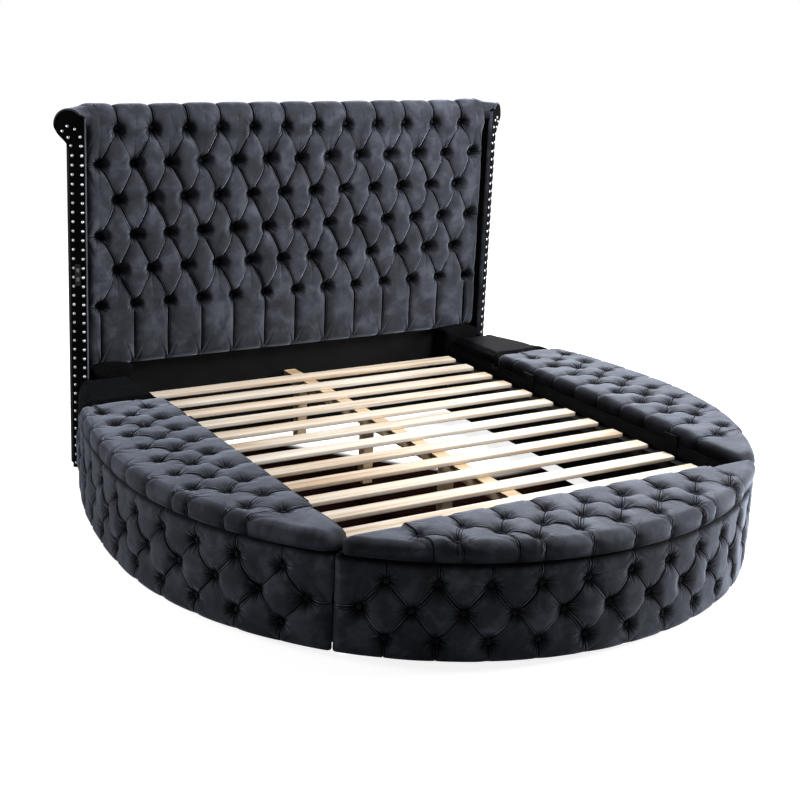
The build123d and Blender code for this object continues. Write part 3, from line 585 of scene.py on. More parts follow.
def lay_lid(quilt, low, high, pitch, start, rows, reach, square_end):
    """Buttons, pillows and pleats of a lid between low and high along its hinge."""
    def along(column):
        return start + column * pitch / 2

    def active(row, column):
        inside = low + least_margin < along(column) < high - least_margin
        return inside and rows[row] < reach(along(column)) - least_margin

    columns = [0]
    while active(1, columns[-1] + 1) and active(0, columns[-1] + 2):
        columns += [columns[-1] + 1, columns[-1] + 2]
    while active(1, columns[0] - 1) and active(0, columns[0] - 2):
        columns = [columns[0] - 2, columns[0] - 1] + columns
    top = {}
    for column in columns:
        for row in range(len(rows)):
            if (row + column) % 2 == 0 and active(row, column):
                quilt.buttons[row, column] = along(column), rows[row]
                top[column] = row
    quilt.add_pillows()
    first, last = columns[0], columns[-1]
    for column in columns[:-2:2]:
        quilt.add_pleat([(0, column), (1, column + 1), (0, column + 2)], (along(column), 0), (), 0.86, 9.0)
    round_end = [(high, reach(high))] + arc_walk(high, along(last), reach)
    if square_end:
        quilt.add_pleat([(0, last)], (along(last), 0), [(high, 0)], 0.6)
        for row in range(0, top[last], 2):
            quilt.add_pleat(zigzag(row, row + 2, last, -1), (high, rows[row]), (), 0.7)
        quilt.add_pleat([(top[last], last)], (high, rows[top[last]]), round_end, 0.6)
    else:
        chain = zigzag(0, top[last], last, -1)
        quilt.add_pleat(chain, (along(last), 0), [(high, 0)] + round_end, 0.28)
    kept = [c for c in reversed(columns)
            if c in (first, last) or not (top[c] < top[c - 1] and top[c] < top[c + 1])]
    for column, after in zip(kept, kept[1:]):
        chain = [(top[k], k) for k in range(column, after - 1, -1)]
        quilt.add_pleat(chain, (along(column), reach(along(column))),
                        arc_walk(along(column), along(after), reach), 0.72)
    chain = zigzag(0, top[first], first, 1)[::-1]
    tip = arc_walk(along(first), low, reach) + [(low, reach(low)), (low, 0)]
    quilt.add_pleat(chain, (along(first), reach(along(first))), tip, 0.5 if square_end else 0.28)


def straight_sides(low, high):
    """Distances to the two ends and the hinge side of a pad, whose edge is tighter mid-way."""
    def sides(points):
        a, b = points.T
        one, nought = np.ones_like(a), np.zeros_like(a)
        inward = [np.column_stack(pair) for pair in ((one, nought), (-one, nought), (nought, one))]
        ends = np.clip((np.minimum(a - low, high - a) - 20) / 60, 0, 1)
        return [a - low, high - a, (1 + 0.5 * ends) * b], inward
    return sides


def with_arc(ends, zero, across):
    """Adds the round edge. across says whether the pad lies across the foot of the bed."""
    def sides(points):
        distances, inward = ends(points)
        a, b = points.T
        x, y = (a, -(b + zero)) if across else (b + zero, a)
        far, shifted = np.hypot(x, y), np.hypot(x + side_centre, y)
        ahead = (y < 0) | across
        distances.append(np.where(ahead, bed_radius - far, side_radius - shifted) - lid_inset)
        gone = np.where(ahead, far, shifted)
        nx, ny = np.where(ahead, x, x + side_centre) / gone, y / gone
        inward.append(np.column_stack([-nx, ny] if across else [-ny, -nx]))
        return np.array(distances), np.array(inward)
    return sides


def side_place(a, b, height):
    return np.column_stack([-(side_zero + b), a + circle_y, box_top + height])


def foot_place(a, b, height):
    return np.column_stack([-a, -(foot_zero + b) + circle_y, box_top + height])


def side_reach(a):
    return half_width(a, lid_inset) - side_zero


def foot_reach(a):
    return max(math.sqrt((bed_radius - lid_inset)**2 - a**2) - foot_zero, 0.5)


def publish(name, mesh, body, material, slot, nodes, light=1.0, second=None):
    """Puts a finished mesh in the scene, on its body and in place of its nodes. light is how
    open its velvet lies to the light, where the mesh doesn't say so itself. A second material
    is for the faces that the mesh already marks with index 1."""
    piece = bpy.data.objects.new(name, mesh)
    bpy.context.collection.objects.link(piece)
    marks = np.zeros(len(mesh.polygons), dtype=np.int32)
    mesh.polygons.foreach_get("material_index", marks)
    mesh.materials.clear()
    mesh.materials.append(material)
    if second:
        mesh.materials.append(second)
        mesh.polygons.foreach_set("material_index", marks)
    if slot == "velvet" and "light" not in mesh.attributes:
        mark_plain(mesh, light)
    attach(piece, body)
    if nodes:
        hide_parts(*nodes)
    print(name, len(mesh.polygons), "faces")


def mirrored(mesh, name):
    """The same mesh on the other side of the bed, still facing outwards."""
    twin = mesh.copy()
    twin.name = name
    points = np.empty(len(twin.vertices) * 3)
    twin.vertices.foreach_get("co", points)
    points[::3] *= -1
    twin.vertices.foreach_set("co", points)
    twin.flip_normals()
    twin.update()
    return twin


def publish_pair(side, name, mesh, body, material, nodes, second=None):
    """A velvet piece on its own side and its mirror image. {} in a name stands for the side."""
    other = {"left": "right", "right": "left"}[side]
    for here, shape in ((side, mesh), (other, mirrored(mesh, name.format(other)))):
        publish(name.format(here), shape, body.format(here), material, "velvet",
                [node.format(here) for node in nodes], second=second)


# painted shade: the lids' light attribute darkens along their hinge side, towards the well
LID = dict(floor=57.0, side_top=30.0, bottom=2.0, turn=30.0, clear=8.0, crown=26.0, valley=17.0,
           cone=(6.0, 0.6, 7, 1.8), bulge=8.0, tuck=7.0, crease_power=3.0, fullness=6.0, notch=7.0,
           fade=16.0, dark_below=3.0)
side_lid = Quilt(side_place, with_arc(straight_sides(side_front, side_rear), side_zero, False), 3, **LID)
lay_lid(side_lid, side_front, side_rear, 147.5, 527.0, [119.0, 213.5, 308.0], side_reach, True)
publish_pair("left", "{}_lid_velvet", side_lid.mesh("left_lid_pad_velvet"), "{}_lid",
             charcoal_velvet, ["{}_lid_pad"])
foot_lid = Quilt(foot_place, with_arc(straight_sides(-foot_tip, foot_tip), foot_zero, True), 4, **LID)
lay_lid(foot_lid, -foot_tip, foot_tip, 163.0, 0.0, [109.0, 196.0, 283.0], foot_reach, False)
publish("foot_lid_velvet", foot_lid.mesh("foot_lid_velvet"), "foot_lid", charcoal_velvet, "velvet",
        ["foot_lid_pad"])

# %% [markdown]
# ## Plain padded pieces
# A plain pad has no buttons to hold its cloth, so its form comes from the cloth itself. The
# shape is cut into even squares, its foot is held as if stapled to the board, and Blender's
# cloth is swelled by a gentle pressure, as foam swells the cover that is pulled over it.


# %% Cloth swelled by its filling
def as_modified(piece):
    """The piece's mesh, with its modifiers applied."""
    graph = bpy.context.evaluated_depsgraph_get()
    return bpy.data.meshes.new_from_object(piece.evaluated_get(graph), depsgraph=graph)


def swollen(mesh, hold_below, pressure=4.0, cap=7.0, square=6.0, frames=20):
    """The same mesh as cloth over its filling. Points below a height are held."""
    piece = bpy.data.objects.new("swelling", mesh)
    bpy.context.collection.objects.link(piece)
    squares = piece.modifiers.new("even squares", "REMESH")
    squares.mode = "VOXEL"
    squares.voxel_size = square * MM
    even = as_modified(piece)
    piece.modifiers.clear()
    piece.data = even
    rest = np.empty(len(even.vertices) * 3)
    even.vertices.foreach_get("co", rest)
    rest = rest.reshape(-1, 3)
    held = piece.vertex_groups.new(name="held")
    held.add(np.flatnonzero(rest[:, 2] < hold_below * MM).tolist(), 1.0, "REPLACE")
    cloth = piece.modifiers.new("cover", "CLOTH")
    cloth.settings.vertex_group_mass = "held"
    cloth.settings.use_pressure = True
    cloth.settings.uniform_pressure_force = pressure
    cloth.settings.effector_weights.gravity = 0.0
    cloth.settings.quality = 4
    cloth.point_cache.frame_start, cloth.point_cache.frame_end = 1, frames
    for frame_number in range(1, frames + 1):
        bpy.context.scene.frame_set(frame_number)
    full = piece.evaluated_get(bpy.context.evaluated_depsgraph_get())
    moved = np.empty(rest.size)
    full.to_mesh().vertices.foreach_get("co", moved)
    full.to_mesh_clear()
    piece.modifiers.clear()
    move = moved.reshape(-1, 3) - rest
    far = np.linalg.norm(move, axis=1)
    move *= np.minimum(1, cap * MM / np.maximum(far, 1e-9))[:, None]
    print("cloth moved up to", round(float(far.max()) / MM, 1), "mm, kept within", cap)
    even.vertices.foreach_set("co", (rest + move).ravel())
    even.update()
    finer = piece.modifiers.new("one subdivision", "SUBSURF")
    finer.levels = finer.render_levels = 1
    bpy.context.scene.frame_set(1)
    made = as_modified(piece)
    bpy.data.objects.remove(piece)
    return smooth_shaded(made)


# %% [markdown]
# ## The plain pads beside the headboard
# Between each side lid and the headboard the bench is fixed, and its pad has no buttons: one
# smooth cushion over a board, fullest in the middle and drawn down at its edges.


# %% Rear pads
def plain_pad(name, quilt, low, high, reach):
    """One smooth pillow between low and high, with the same skirt as the lids."""
    corners = [(low, 0), (high, 0), (high, reach(high))] + arc_walk(high, low, reach) + [(low, reach(low))]
    rim = []
    for one, two in zip(corners, corners[1:] + corners[:1]):
        count = max(1, round(math.dist(one, two) / quilt.step))
        for share in np.arange(count) / count:
            rim.append(np.array(one) + share * (np.array(two) - np.array(one)))
    rim = quilt.settle(rim)
    swell = np.full(len(rim), quilt.bulge * 0.8)
    quilt.add_pillow(rim, swell, np.ones(len(rim)))
    quilt.add_skirt(rim, swell, np.full(len(rim), quilt.soft_fold))
    return quilt.mesh(name)


rear_front = side_rear + lid_gap
rear = Quilt(side_place, with_arc(straight_sides(rear_front, bench_end), side_zero, False), 5,
             **{**LID, "floor": 50.0, "crown": 7.0, "rings": 26})
rear_mesh = swollen(plain_pad("left_rear_velvet", rear, rear_front, bench_end, side_reach), box_top + 14)
# painted shade: the rear pads take the near-black copy of the velvet
publish_pair("left", "{}_rear_velvet", rear_mesh, "base", shaded_velvet, ["{}_rear_pad"])

# %% [markdown]
# ## The round walls
# The same tufting goes round the walls of the box, lower and tighter. One cover runs along
# each side and one round the foot, and they meet in two upright seams. A cover is laid out
# flat, with a along the wall and b up it, and then bent round the plan.

# %% Covers of the round walls
wall_columns, wall_rows = 12, (87.0, 183.5, 280.0)
cover_low, cover_high, cover_thickness, seam_gap = 15.0, 348.0, 36.0, 3.0
quarter = bed_radius * math.pi / 4
side_length = quarter + side_radius * math.asin(bench_end / side_radius)


def side_wall(a, b, height):
    """Bends a cover along the left wall, from the headboard forward to the foot seam."""
    along = side_length - a
    inset = cover_thickness - height
    front, back = math.pi / 4 + along / bed_radius, (along - quarter) / side_radius
    near, far = bed_radius - inset, side_radius - inset
    x = np.where(along < quarter, -near * np.sin(front), side_centre - far * np.cos(back))
    y = np.where(along < quarter, -near * np.cos(front), far * np.sin(back))
    return np.column_stack([x, y + circle_y, b])


def foot_wall(a, b, height):
    radius, turn = bed_radius - cover_thickness + height, a / bed_radius
    return np.column_stack([radius * np.sin(turn), circle_y - radius * np.cos(turn), b])


def box_sides(left, right, low, high, quick=1.0):
    """Distances to the four edges of a straight pad. quick makes the last one turn faster."""
    def sides(points):
        a, b = points.T
        inward = [np.tile(pair, (len(a), 1)) for pair in ((1.0, 0), (-1.0, 0), (0, 1.0), (0, -1.0))]
        return np.array([a - left, right - a, b - low, quick * (high - b)]), np.array(inward)
    return sides


def lay_wall(quilt, start, end, low, high):
    """Three rows of buttons along a wall, with pleats to both edges and to the seams."""
    last = 2 * wall_columns
    half_pitch = (end - start) / last

    def along(column):
        return start + column * half_pitch

    for column in range(1, last):
        for row in ((1,) if column % 2 else (0, 2)):
            quilt.buttons[row, column] = along(column), wall_rows[row]
    quilt.add_pillows()
    full, seam, middle = 0.72, 0.8, wall_rows[1]
    for c in range(2, last - 2, 2):
        quilt.add_pleat([(0, c), (1, c + 1), (0, c + 2)], (along(c), low), (), full)
    quilt.add_pleat([(0, last - 2), (1, last - 1)], (along(last - 2), low), [(end, low)], seam)
    quilt.add_pleat([(1, last - 1), (2, last - 2)], (end, middle), [(end, high)], seam)
    for c in range(last - 2, 2, -2):
        quilt.add_pleat([(2, c), (1, c - 1), (2, c - 2)], (along(c), high), (), full)
    quilt.add_pleat([(2, 2), (1, 1)], (along(2), high), [(start, high)], seam)
    quilt.add_pleat([(1, 1), (0, 2)], (start, middle), [(start, low)], seam)


# painted shade: the covers' light attribute darkens along their top edge, under the lids' overhang
COVER = dict(floor=9.0, side_top=5.0, bottom=1.2, turn=10.0, clear=2.5, crown=29.0, valley=18.0,
             cone=(6.0, 0.62, 7, 2.0), bulge=3.0, tuck=0.5, crease_power=3.2, fullness=9.0,
             notch=3.0, fade=14.0, dark_above=347.0, step=10.0)


def wall_cover(name, place, start, end, seed):
    """A cover's quilt and its mesh."""
    quilt = Quilt(place, box_sides(start, end, cover_low, cover_high), seed, **COVER)
    lay_wall(quilt, start, end, cover_low, cover_high)
    return quilt, quilt.mesh(name)


foot_half = quarter - seam_gap / 2
foot_cover, mesh = wall_cover("foot_wall_velvet", foot_wall, -foot_half, foot_half, 11)
publish("foot_wall_velvet", mesh, "base", charcoal_velvet, "velvet", ["foot_wall_cover"])
side_cover, mesh = wall_cover("left_wall_velvet", side_wall, 0.0, side_length - seam_gap / 2, 12)
publish_pair("left", "{}_wall_velvet", mesh, "base", charcoal_velvet, ["{}_wall_cover"])

# %% [markdown]
# ## The headboard
# Six rows of buttons, the deepest tufting on the bed. Below the last row the pleats run
# straight down to the hem. Above the top row they go over the roll on top of the board, so
# here the plan runs up the face, round the roll and down behind it.

# %% Headboard quilt
head_floor, head_half, head_low = 22.0, 1006.0, 425.0
head_face, roll_line, roll_y, roll_base = 1128.0, 1488.0, 1148.0, 46.0
lean_from = 1395.0            # above this height the face leans forward to the roll
head_end = roll_line + roll_base * math.radians(250)
head_rows, head_columns, head_half_pitch = 6, 12, 78.0
first_row, row_step = 699.0, 151.0


def head_path(b):
    """Where the cloth lies at button depth: up the face, out and round the roll."""
    ease = smooth(np.clip((b - lean_from) / (roll_line - lean_from), 0, 1))
    turn = math.pi - np.maximum(b - roll_line, 0) / roll_base
    y = np.where(b < roll_line, head_face - (head_face - roll_y + roll_base) * ease,
                 roll_y + roll_base * np.cos(turn))
    return y, np.where(b < roll_line, b, roll_line + roll_base * np.sin(turn))


def head_place(a, b, height):
    """Stands the cloth square to its path, with lower pillows over the roll."""
    y, z = head_path(b)
    after_y, after_z = head_path(b + 0.5)
    before_y, before_z = head_path(b - 0.5)
    out = np.column_stack([before_z - after_z, after_y - before_y])
    out /= np.linalg.norm(out, axis=1)[:, None]
    over = smooth(np.clip((b - 1440) / 90, 0, 1))
    rise = height - head_floor
    rise = np.where(rise > 0, rise * (1 - 0.56 * over), rise)
    return np.column_stack([a, y + rise * out[:, 0] + circle_y, z + rise * out[:, 1]])


head = Quilt(head_place, box_sides(-head_half, head_half, head_low, head_end, 2.6), 21,
             floor=head_floor, side_top=5.0, bottom=-1.0, turn=40.0, clear=10.0, crown=53.0,
             valley=38.0, cone=(7.0, 1.2, 8, 2.4), bulge=8.0, tuck=3.0, crease_power=3.4,
             fullness=8.0, notch=4.0, fade=14.0, end_lift=32.0, ends_from=970.0, rings=13)


def head_spot(row, column):
    return column * head_half_pitch, first_row + row * row_step


for row in range(head_rows):
    outer = head_columns - (head_columns - row) % 2
    for column in range(-outer, outer + 1, 2):
        head.buttons[row, column] = head_spot(row, column)
head.add_pillows()
last, top = head_columns, head_rows - 1
low_fold, roll_fold, no_fold = 22.0, 8.0, 48.0
for c in range(-last, last, 2):
    head.add_pleat([(0, c), (1, c + 1), (0, c + 2)], (head_spot(0, c)[0], head_low), (), 0.84, low_fold)
head.add_pleat([(0, last)], (head_spot(0, last)[0], head_low), [(head_half, head_low)], 0.85, low_fold)
for r in range(0, top - 1, 2):
    head.add_pleat([(r, last), (r + 1, last - 1), (r + 2, last)], (head_half, head_spot(r, 0)[1]),
                   (), 0.95, no_fold)
head.add_pleat([(top - 1, last), (top, last - 1)], (head_half, head_spot(top - 1, 0)[1]),
               [(head_half, head_end)], 0.88, no_fold)
for c in range(last - 1, 1 - last, -2):
    head.add_pleat([(top, c), (top - 1, c - 1), (top, c - 2)], (head_spot(top, c)[0], head_end),
                   (), 0.74, roll_fold)
head.add_pleat([(top, 1 - last), (top - 1, -last)], (head_spot(top, 1 - last)[0], head_end),
               [(-head_half, head_end)], 0.88, roll_fold)
for r in range(top - 1, 0, -2):
    head.add_pleat([(r, -last), (r - 1, 1 - last), (r - 2, -last)], (-head_half, head_spot(r, 0)[1]),
                   (), 0.95, no_fold)
head.add_pleat([(0, -last)], (-head_half, first_row), [(-head_half, head_low)], 0.85, no_fold)
publish("headboard_velvet", head.mesh("headboard_velvet"), "base", charcoal_velvet, "velvet",
        ["headboard_pad"])

# %% [markdown]
# ## Buttons and nails
# Each button is a small tin mould covered with the same velvet, with a soft groove inside its
# rim. There are hundreds of them and they are all alike, so one is turned like a vase and
# Geometry Nodes sets it on every button place, square to the cloth there. Nails go the same way.


# %% A turned shape on many points
def turned(name, profile, sides):
    """A closed round shape from (radius, height) pairs, from its lower edge to its tip."""
    angles = 2 * math.pi * np.arange(sides) / sides
    rings = [np.column_stack([radius * np.cos(angles), radius * np.sin(angles), np.full(sides, height)])
             for radius, height in profile[:-1]]
    return stacked(name, rings, (0, 0, profile[-1][1]))


def spreading_nodes():
    """Geometry Nodes: a shape on each point, along the point's facing, each turned at random."""
    tree = bpy.data.node_groups.new("set on points", "GeometryNodeTree")
    sockets = {}
    for name, kind in (("Geometry", "Geometry"), ("Shape", "Object"), ("Unevenness", "Float"),
                       ("Turn", "Float"), ("Finish", "Material"), ("Seed", "Int")):
        sockets[name] = tree.interface.new_socket(
            name, in_out="INPUT", socket_type="NodeSocket" + kind).identifier
    tree.interface.new_socket("Geometry", in_out="OUTPUT", socket_type="NodeSocketGeometry")
    given = add(tree, "NodeGroupInput").outputs
    shape = add(tree, "GeometryNodeObjectInfo", links={"Object": given["Shape"]})
    facing = add(tree, "GeometryNodeInputNamedAttribute", {"data_type": "FLOAT_VECTOR"}, {"Name": "facing"})
    along = add(tree, "FunctionNodeAlignRotationToVector", {"axis": "Z"}, links={"Vector": facing.outputs[0]})
    chance = add(tree, "FunctionNodeRandomValue", {"data_type": "FLOAT"}, {2: -1.0, 3: 1.0},
                 {"Seed": given["Seed"]}).outputs[1]
    angle = add(tree, "ShaderNodeMath", {"operation": "MULTIPLY"}, links={0: chance, 1: given["Turn"]})
    spin = add(tree, "FunctionNodeAxisAngleToRotation", inputs={"Axis": (0, 0, 1)},
               links={"Angle": angle.outputs[0]})
    both = add(tree, "FunctionNodeRotateRotation", {"rotation_space": "LOCAL"},
               links={"Rotation": along.outputs[0], "Rotate By": spin.outputs[0]})
    size = add(tree, "ShaderNodeMath", {"operation": "MULTIPLY_ADD"}, {2: 1.0},
               {0: chance, 1: given["Unevenness"]})
    placed = add(tree, "GeometryNodeInstanceOnPoints",
                 links={"Points": given["Geometry"], "Instance": shape.outputs["Geometry"],
                        "Rotation": both.outputs[0], "Scale": size.outputs[0]})
    tone = add(tree, "GeometryNodeStoreNamedAttribute", {"data_type": "FLOAT", "domain": "INSTANCE"},
               {"Name": "tone"}, {"Geometry": placed.outputs["Instances"], "Value": chance})
    joined = add(tree, "GeometryNodeRealizeInstances", links={"Geometry": tone.outputs["Geometry"]})
    painted = add(tree, "GeometryNodeSetMaterial",
                  links={"Geometry": joined.outputs["Geometry"], "Material": given["Finish"]})
    add(tree, "NodeGroupOutput", links={"Geometry": painted.outputs["Geometry"]})
    return tree, sockets


spreading, sockets = spreading_nodes()


def spread(name, shape, places, facings, material, unevenness=0.0, turn=math.pi, seed=1):
    """Sets the shape on all places and returns them as one mesh."""
    points = bpy.data.meshes.new(name + " places")
    points.from_pydata([tuple(place * MM) for place in places], [], [])
    mark(points, "facing", facings)
    carrier = bpy.data.objects.new(name + " places", points)
    pattern = bpy.data.objects.new(name + " pattern", shape)
    for helper in (carrier, pattern):
        bpy.context.collection.objects.link(helper)
    nodes = carrier.modifiers.new("set on points", "NODES")
    nodes.node_group = spreading
    for socket, value in (("Shape", pattern), ("Unevenness", unevenness), ("Turn", turn),
                          ("Finish", material), ("Seed", seed)):
        nodes[sockets[socket]] = value
    carrier.update_tag()
    made = as_modified(carrier)
    made.name = name
    for helper in (carrier, pattern):
        bpy.data.objects.remove(helper)
    return made


def button_places(quilt):
    """Where the buttons of a quilt sit, and which way they face."""
    spots = np.array(list(quilt.buttons.values()))
    low, high = (quilt.place(*spots.T, np.full(len(spots), quilt.floor + up)) for up in (0.4, 10.4))
    return low, (high - low) / np.linalg.norm(high - low, axis=1)[:, None]


def other_side(spots):
    """The same places and facings on the other side of the bed."""
    return [part * np.array([-1.0, 1.0, 1.0]) for part in spots]


def joined(*groups):
    return [np.concatenate(parts) for parts in zip(*groups)]


button = turned("covered button", [(10.2, -1.5), (11.2, 1.6), (10.0, 4.4), (7.6, 4.9), (5.4, 6.9),
                                   (0, 8.0)], 14)
lid_spots, wall_spots = button_places(side_lid), button_places(side_cover)
wall_spots = joined(wall_spots, other_side(wall_spots), button_places(foot_cover))
# painted shade: the buttons' velvet is darkened by a fixed light value, as they sit deep in their wells
for name, body, spots, light, seed in (
        ("left_lid", "left_lid", lid_spots, 0.25, 5),
        ("right_lid", "right_lid", other_side(lid_spots), 0.25, 5),
        ("foot_lid", "foot_lid", button_places(foot_lid), 0.25, 5),
        ("wall", "base", wall_spots, 0.3, 6), ("headboard", "base", button_places(head), 0.4, 7)):
    mesh = spread(name + "_covered_buttons", button, *spots, charcoal_velvet, 0.04, seed=seed)
    publish(mesh.name, mesh, body, charcoal_velvet, "velvet", [name + "_buttons"], light=light)

# %% [markdown]
# ## The nailed side boards
# A board stands at each end of the headboard, turned outwards, and curls into a scroll at the
# top. It is cut from plywood and wrapped in black velvet, so its edges are softly rounded.
# Two rows of domed nails run up it.

# %% Scroll boards and nails
board_turn = math.radians(40)
board_along = np.array([math.cos(board_turn), math.sin(board_turn), 0])
board_out = np.array([math.sin(board_turn), -math.cos(board_turn), 0])
board_corner = np.array([1014.0, 1045.0 + circle_y, 0])
board_width, board_thickness, board_top = 70.0, 24.0, 1500.0
neck_low, neck_bow, neck_turn = 1340.0, (48.0, 44.0), math.radians(48)
scroll_middle, scroll_height, scroll_radius = 66.0, 1472.0, 65.0


def on_board(points, out):
    """Places (w, z) on the right board, at a distance in front of its face."""
    w, z = np.array(points, dtype=float).T
    return board_corner + w[:, None] * board_along + z[:, None] * [0, 0, 1] + out * board_out


def board_outline():
    """The outline of a board: straight sides, a hollow neck and the round scroll."""
    turn = np.linspace(-neck_turn, math.radians(128), 40)
    scroll = np.column_stack([scroll_middle + scroll_radius * np.cos(turn),
                              scroll_height + scroll_radius * np.sin(turn)])
    start, end = np.array([board_width, neck_low]), scroll[0]
    pull_up = start + np.array([0, neck_bow[0]])
    pull_in = end - neck_bow[1] * np.array([math.sin(neck_turn), math.cos(neck_turn)])
    t = np.linspace(0, 1, 13)[:-1, None]
    neck = (1 - t)**3 * start + 3 * (1 - t)**2 * t * pull_up + 3 * (1 - t) * t**2 * pull_in + t**3 * end
    front = [(board_width, z) for z in np.linspace(0, 1300, 14)]
    back = [(0.0, z) for z in np.linspace(board_top, 0, 16)]
    return np.concatenate([front, neck, scroll, back])


def pulled_in(outline, inset):
    """The outline moved inwards by an inset."""
    along = np.roll(outline, -1, axis=0) - np.roll(outline, 1, axis=0)
    along /= np.linalg.norm(along, axis=1)[:, None]
    return outline + inset * np.column_stack([-along[:, 1], along[:, 0]])


outline = board_outline()
# insets and heights of the rounded edges, from the back of the board to its padded face
levels = ((6.0, -board_thickness), (1.6, 1.2 - board_thickness), (0, 5 - board_thickness), (0, -5),
          (0.4, -2.6), (1.7, -0.9), (4.0, -0.1), (9.0, 0.3))
board = stacked("right_board_velvet", [on_board(pulled_in(outline, inset), out) for inset, out in levels])
# the edge beside the tufting is wrapped in the tufting's own velvet
for face in board.polygons:
    face.material_index = int(np.dot(face.normal, -board_along) > 0.9 and face.center.z > head_low * MM)
publish_pair("right", "{}_board_velvet", board, "base", black_velvet, ["{}_scroll_board"],
             charcoal_velvet)

nail = turned("domed nail", [(6.2, -0.6), (6.2, 0.6), (5.6, 2.1), (3.9, 3.4), (0, 4.0)], 14)
nails = [(row, 22.0 + 39.0 * k) for row in (12.0, 54.0) for k in range(35)]
scroll_nail_shares = ((-0.78, -1.3), (-0.12, -1.29), (-0.735, -0.73), (0.05, -0.79), (-0.39, -0.26),
                      (0.11, -0.09), (0.435, -0.41))
nails += [(scroll_middle + w * scroll_radius, scroll_height + z * scroll_radius)
          for w, z in scroll_nail_shares]
nail_spots = on_board(nails, 0.3), np.tile(board_out, (len(nails), 1))
nail_spots = joined(nail_spots, other_side(nail_spots))
print("nails:", len(nail_spots[0]))

# %% [markdown]
# ## Roll ends and wings
# The roll over the top turns forward at both ends, and its velvet is drawn over the rim of
# the scroll. Below the tufted pad, a plain padded wing stands on each bench.


# %% Roll ends and wings
def roll_end(name, steps=30, pull=150.0):
    """The end of the roll: round sections that turn forward and widen to the scroll."""
    start = np.array([922.0, roll_y + circle_y, roll_line])
    end = on_board([(scroll_middle, scroll_height)], 0)[0]
    first, last = np.array([pull, 0, 0]), pull * board_out
    angles = np.linspace(0, 2 * math.pi, 64, endpoint=False)
    rings = []
    # the velvet lip covers the rim over the top and outside; the neck below stays black
    covered = np.clip(0.5 - 1.4 * np.cos(angles - math.radians(240)), 0, 1)
    for t in np.linspace(0, 1, steps + 1):
        centre = ((2 * t**3 - 3 * t**2 + 1) * start + (t**3 - 2 * t**2 + t) * first
                  + (3 * t**2 - 2 * t**3) * end + (t**3 - t**2) * last)
        ahead = ((6 * t**2 - 6 * t) * (start - end) + (3 * t**2 - 4 * t + 1) * first
                 + (3 * t**2 - 2 * t) * last)
        ahead /= np.linalg.norm(ahead)
        side = np.array([-ahead[1], ahead[0], 0])
        folds = 1.5 * np.sin(9 * angles + 5 * t) + 1.1 * np.sin(14 * angles - 4 * t + 1)
        radius = 52 + 10 * min(t / 0.3, 1)**0.5 + 4.5 * t + folds * math.sin(math.pi * min(t * 1.25, 1))
        radius -= 7 * (1 - covered) * max(0, (t - 0.8) / 0.2)
        rings.append(centre + radius[:, None] * (np.cos(angles)[:, None] * side
                                                 + np.sin(angles)[:, None] * [0, 0, 1]))
    flat = np.column_stack([np.cos(angles), np.sin(angles)])
    for radius, out in ((67.0, 0.8), (66.0, 2.6), (63.4, 3.6), (60.6, 3.0), (59.4, 1.0), (59.0, -6.0)):
        radius = radius - 8 * (1 - covered)
        ring = on_board(np.array([scroll_middle, scroll_height]) + radius[:, None] * flat, 0)
        rings.append(ring + (covered * out - 8 * (1 - covered))[:, None] * board_out)
    made = stacked(name, rings)
    mark_plain(made, 1.0)
    # painted shade: the roll end darkens towards black on its underside
    shade = np.tile(np.clip((np.sin(angles) + 0.25) / 0.8, 0.04, 1), len(rings))
    made.attributes["light"].data.foreach_set("value", shade)
    return made


def soft_block(name, low, high, rounding):
    """A padded block with rounded edges."""
    work = bmesh.new()
    bmesh.ops.create_cube(work, size=1.0)
    low, high = np.array(low), np.array(high)
    for vert in work.verts:
        vert.co = ((low + high) / 2 + np.array(vert.co) * (high - low)) * MM
    bmesh.ops.bevel(work, geom=work.edges, offset=rounding * MM, segments=5, profile=0.5, affect="EDGES")
    made = bpy.data.meshes.new(name)
    work.to_mesh(made)
    work.free()
    return smooth_shaded(made)


publish_pair("right", "{}_roll_end_velvet", roll_end("right_roll_end_velvet"), "base",
             charcoal_velvet, [])
wing = soft_block("right_wing_velvet", (803, 1043 + circle_y, 44), (998, 1147 + circle_y, 448), 16)
# painted shade: the wings take the near-black copy of the velvet
publish_pair("right", "{}_wing_velvet", swollen(wing, 60, cap=5.0), "base", shaded_velvet, [])

# %% [markdown]
# ## Wood, cloth, metal and plastic
# The slats are planed softwood, cream with a long fine grain. The rails and boards are
# wrapped in black lining cloth. Hinges are powder coated and the nails are chromed.


# %% Other materials
def wood(name, pale, mid, deep, grain):
    """Softwood with its grain along X. grain is the number of grain lines per metre across."""
    material, tree, shader, coords = new_material(name, **{"Roughness": 0.62, "Specular IOR Level": 0.3})
    tone = stored(tree, "tone")
    slide = add(tree, "ShaderNodeCombineXYZ", links={"X": tone})
    shift = add(tree, "ShaderNodeVectorMath", {"operation": "ADD"},
                links={0: coords, 1: slide.outputs["Vector"]})
    stretched = add(tree, "ShaderNodeMapping", inputs={"Scale": (1.1, grain, grain)},
                    links={"Vector": shift.outputs["Vector"]})
    lines = noise(tree, stretched.outputs[0], 1.0, 6.0, 0.62, 0.6)
    colour = ramp(tree, lines, ((0.34, deep), (0.5, mid), (0.68, pale)))
    warm = falloff(tree, tone, -1.0, 1.0, 0.0, 0.55, "LINEAR")
    tree.links.new(blend(tree, warm, colour, "#EFD9C4", "MULTIPLY"), shader.inputs["Base Color"])
    bumps(tree, shader, (lines, 0.25, 0.0006))
    return material


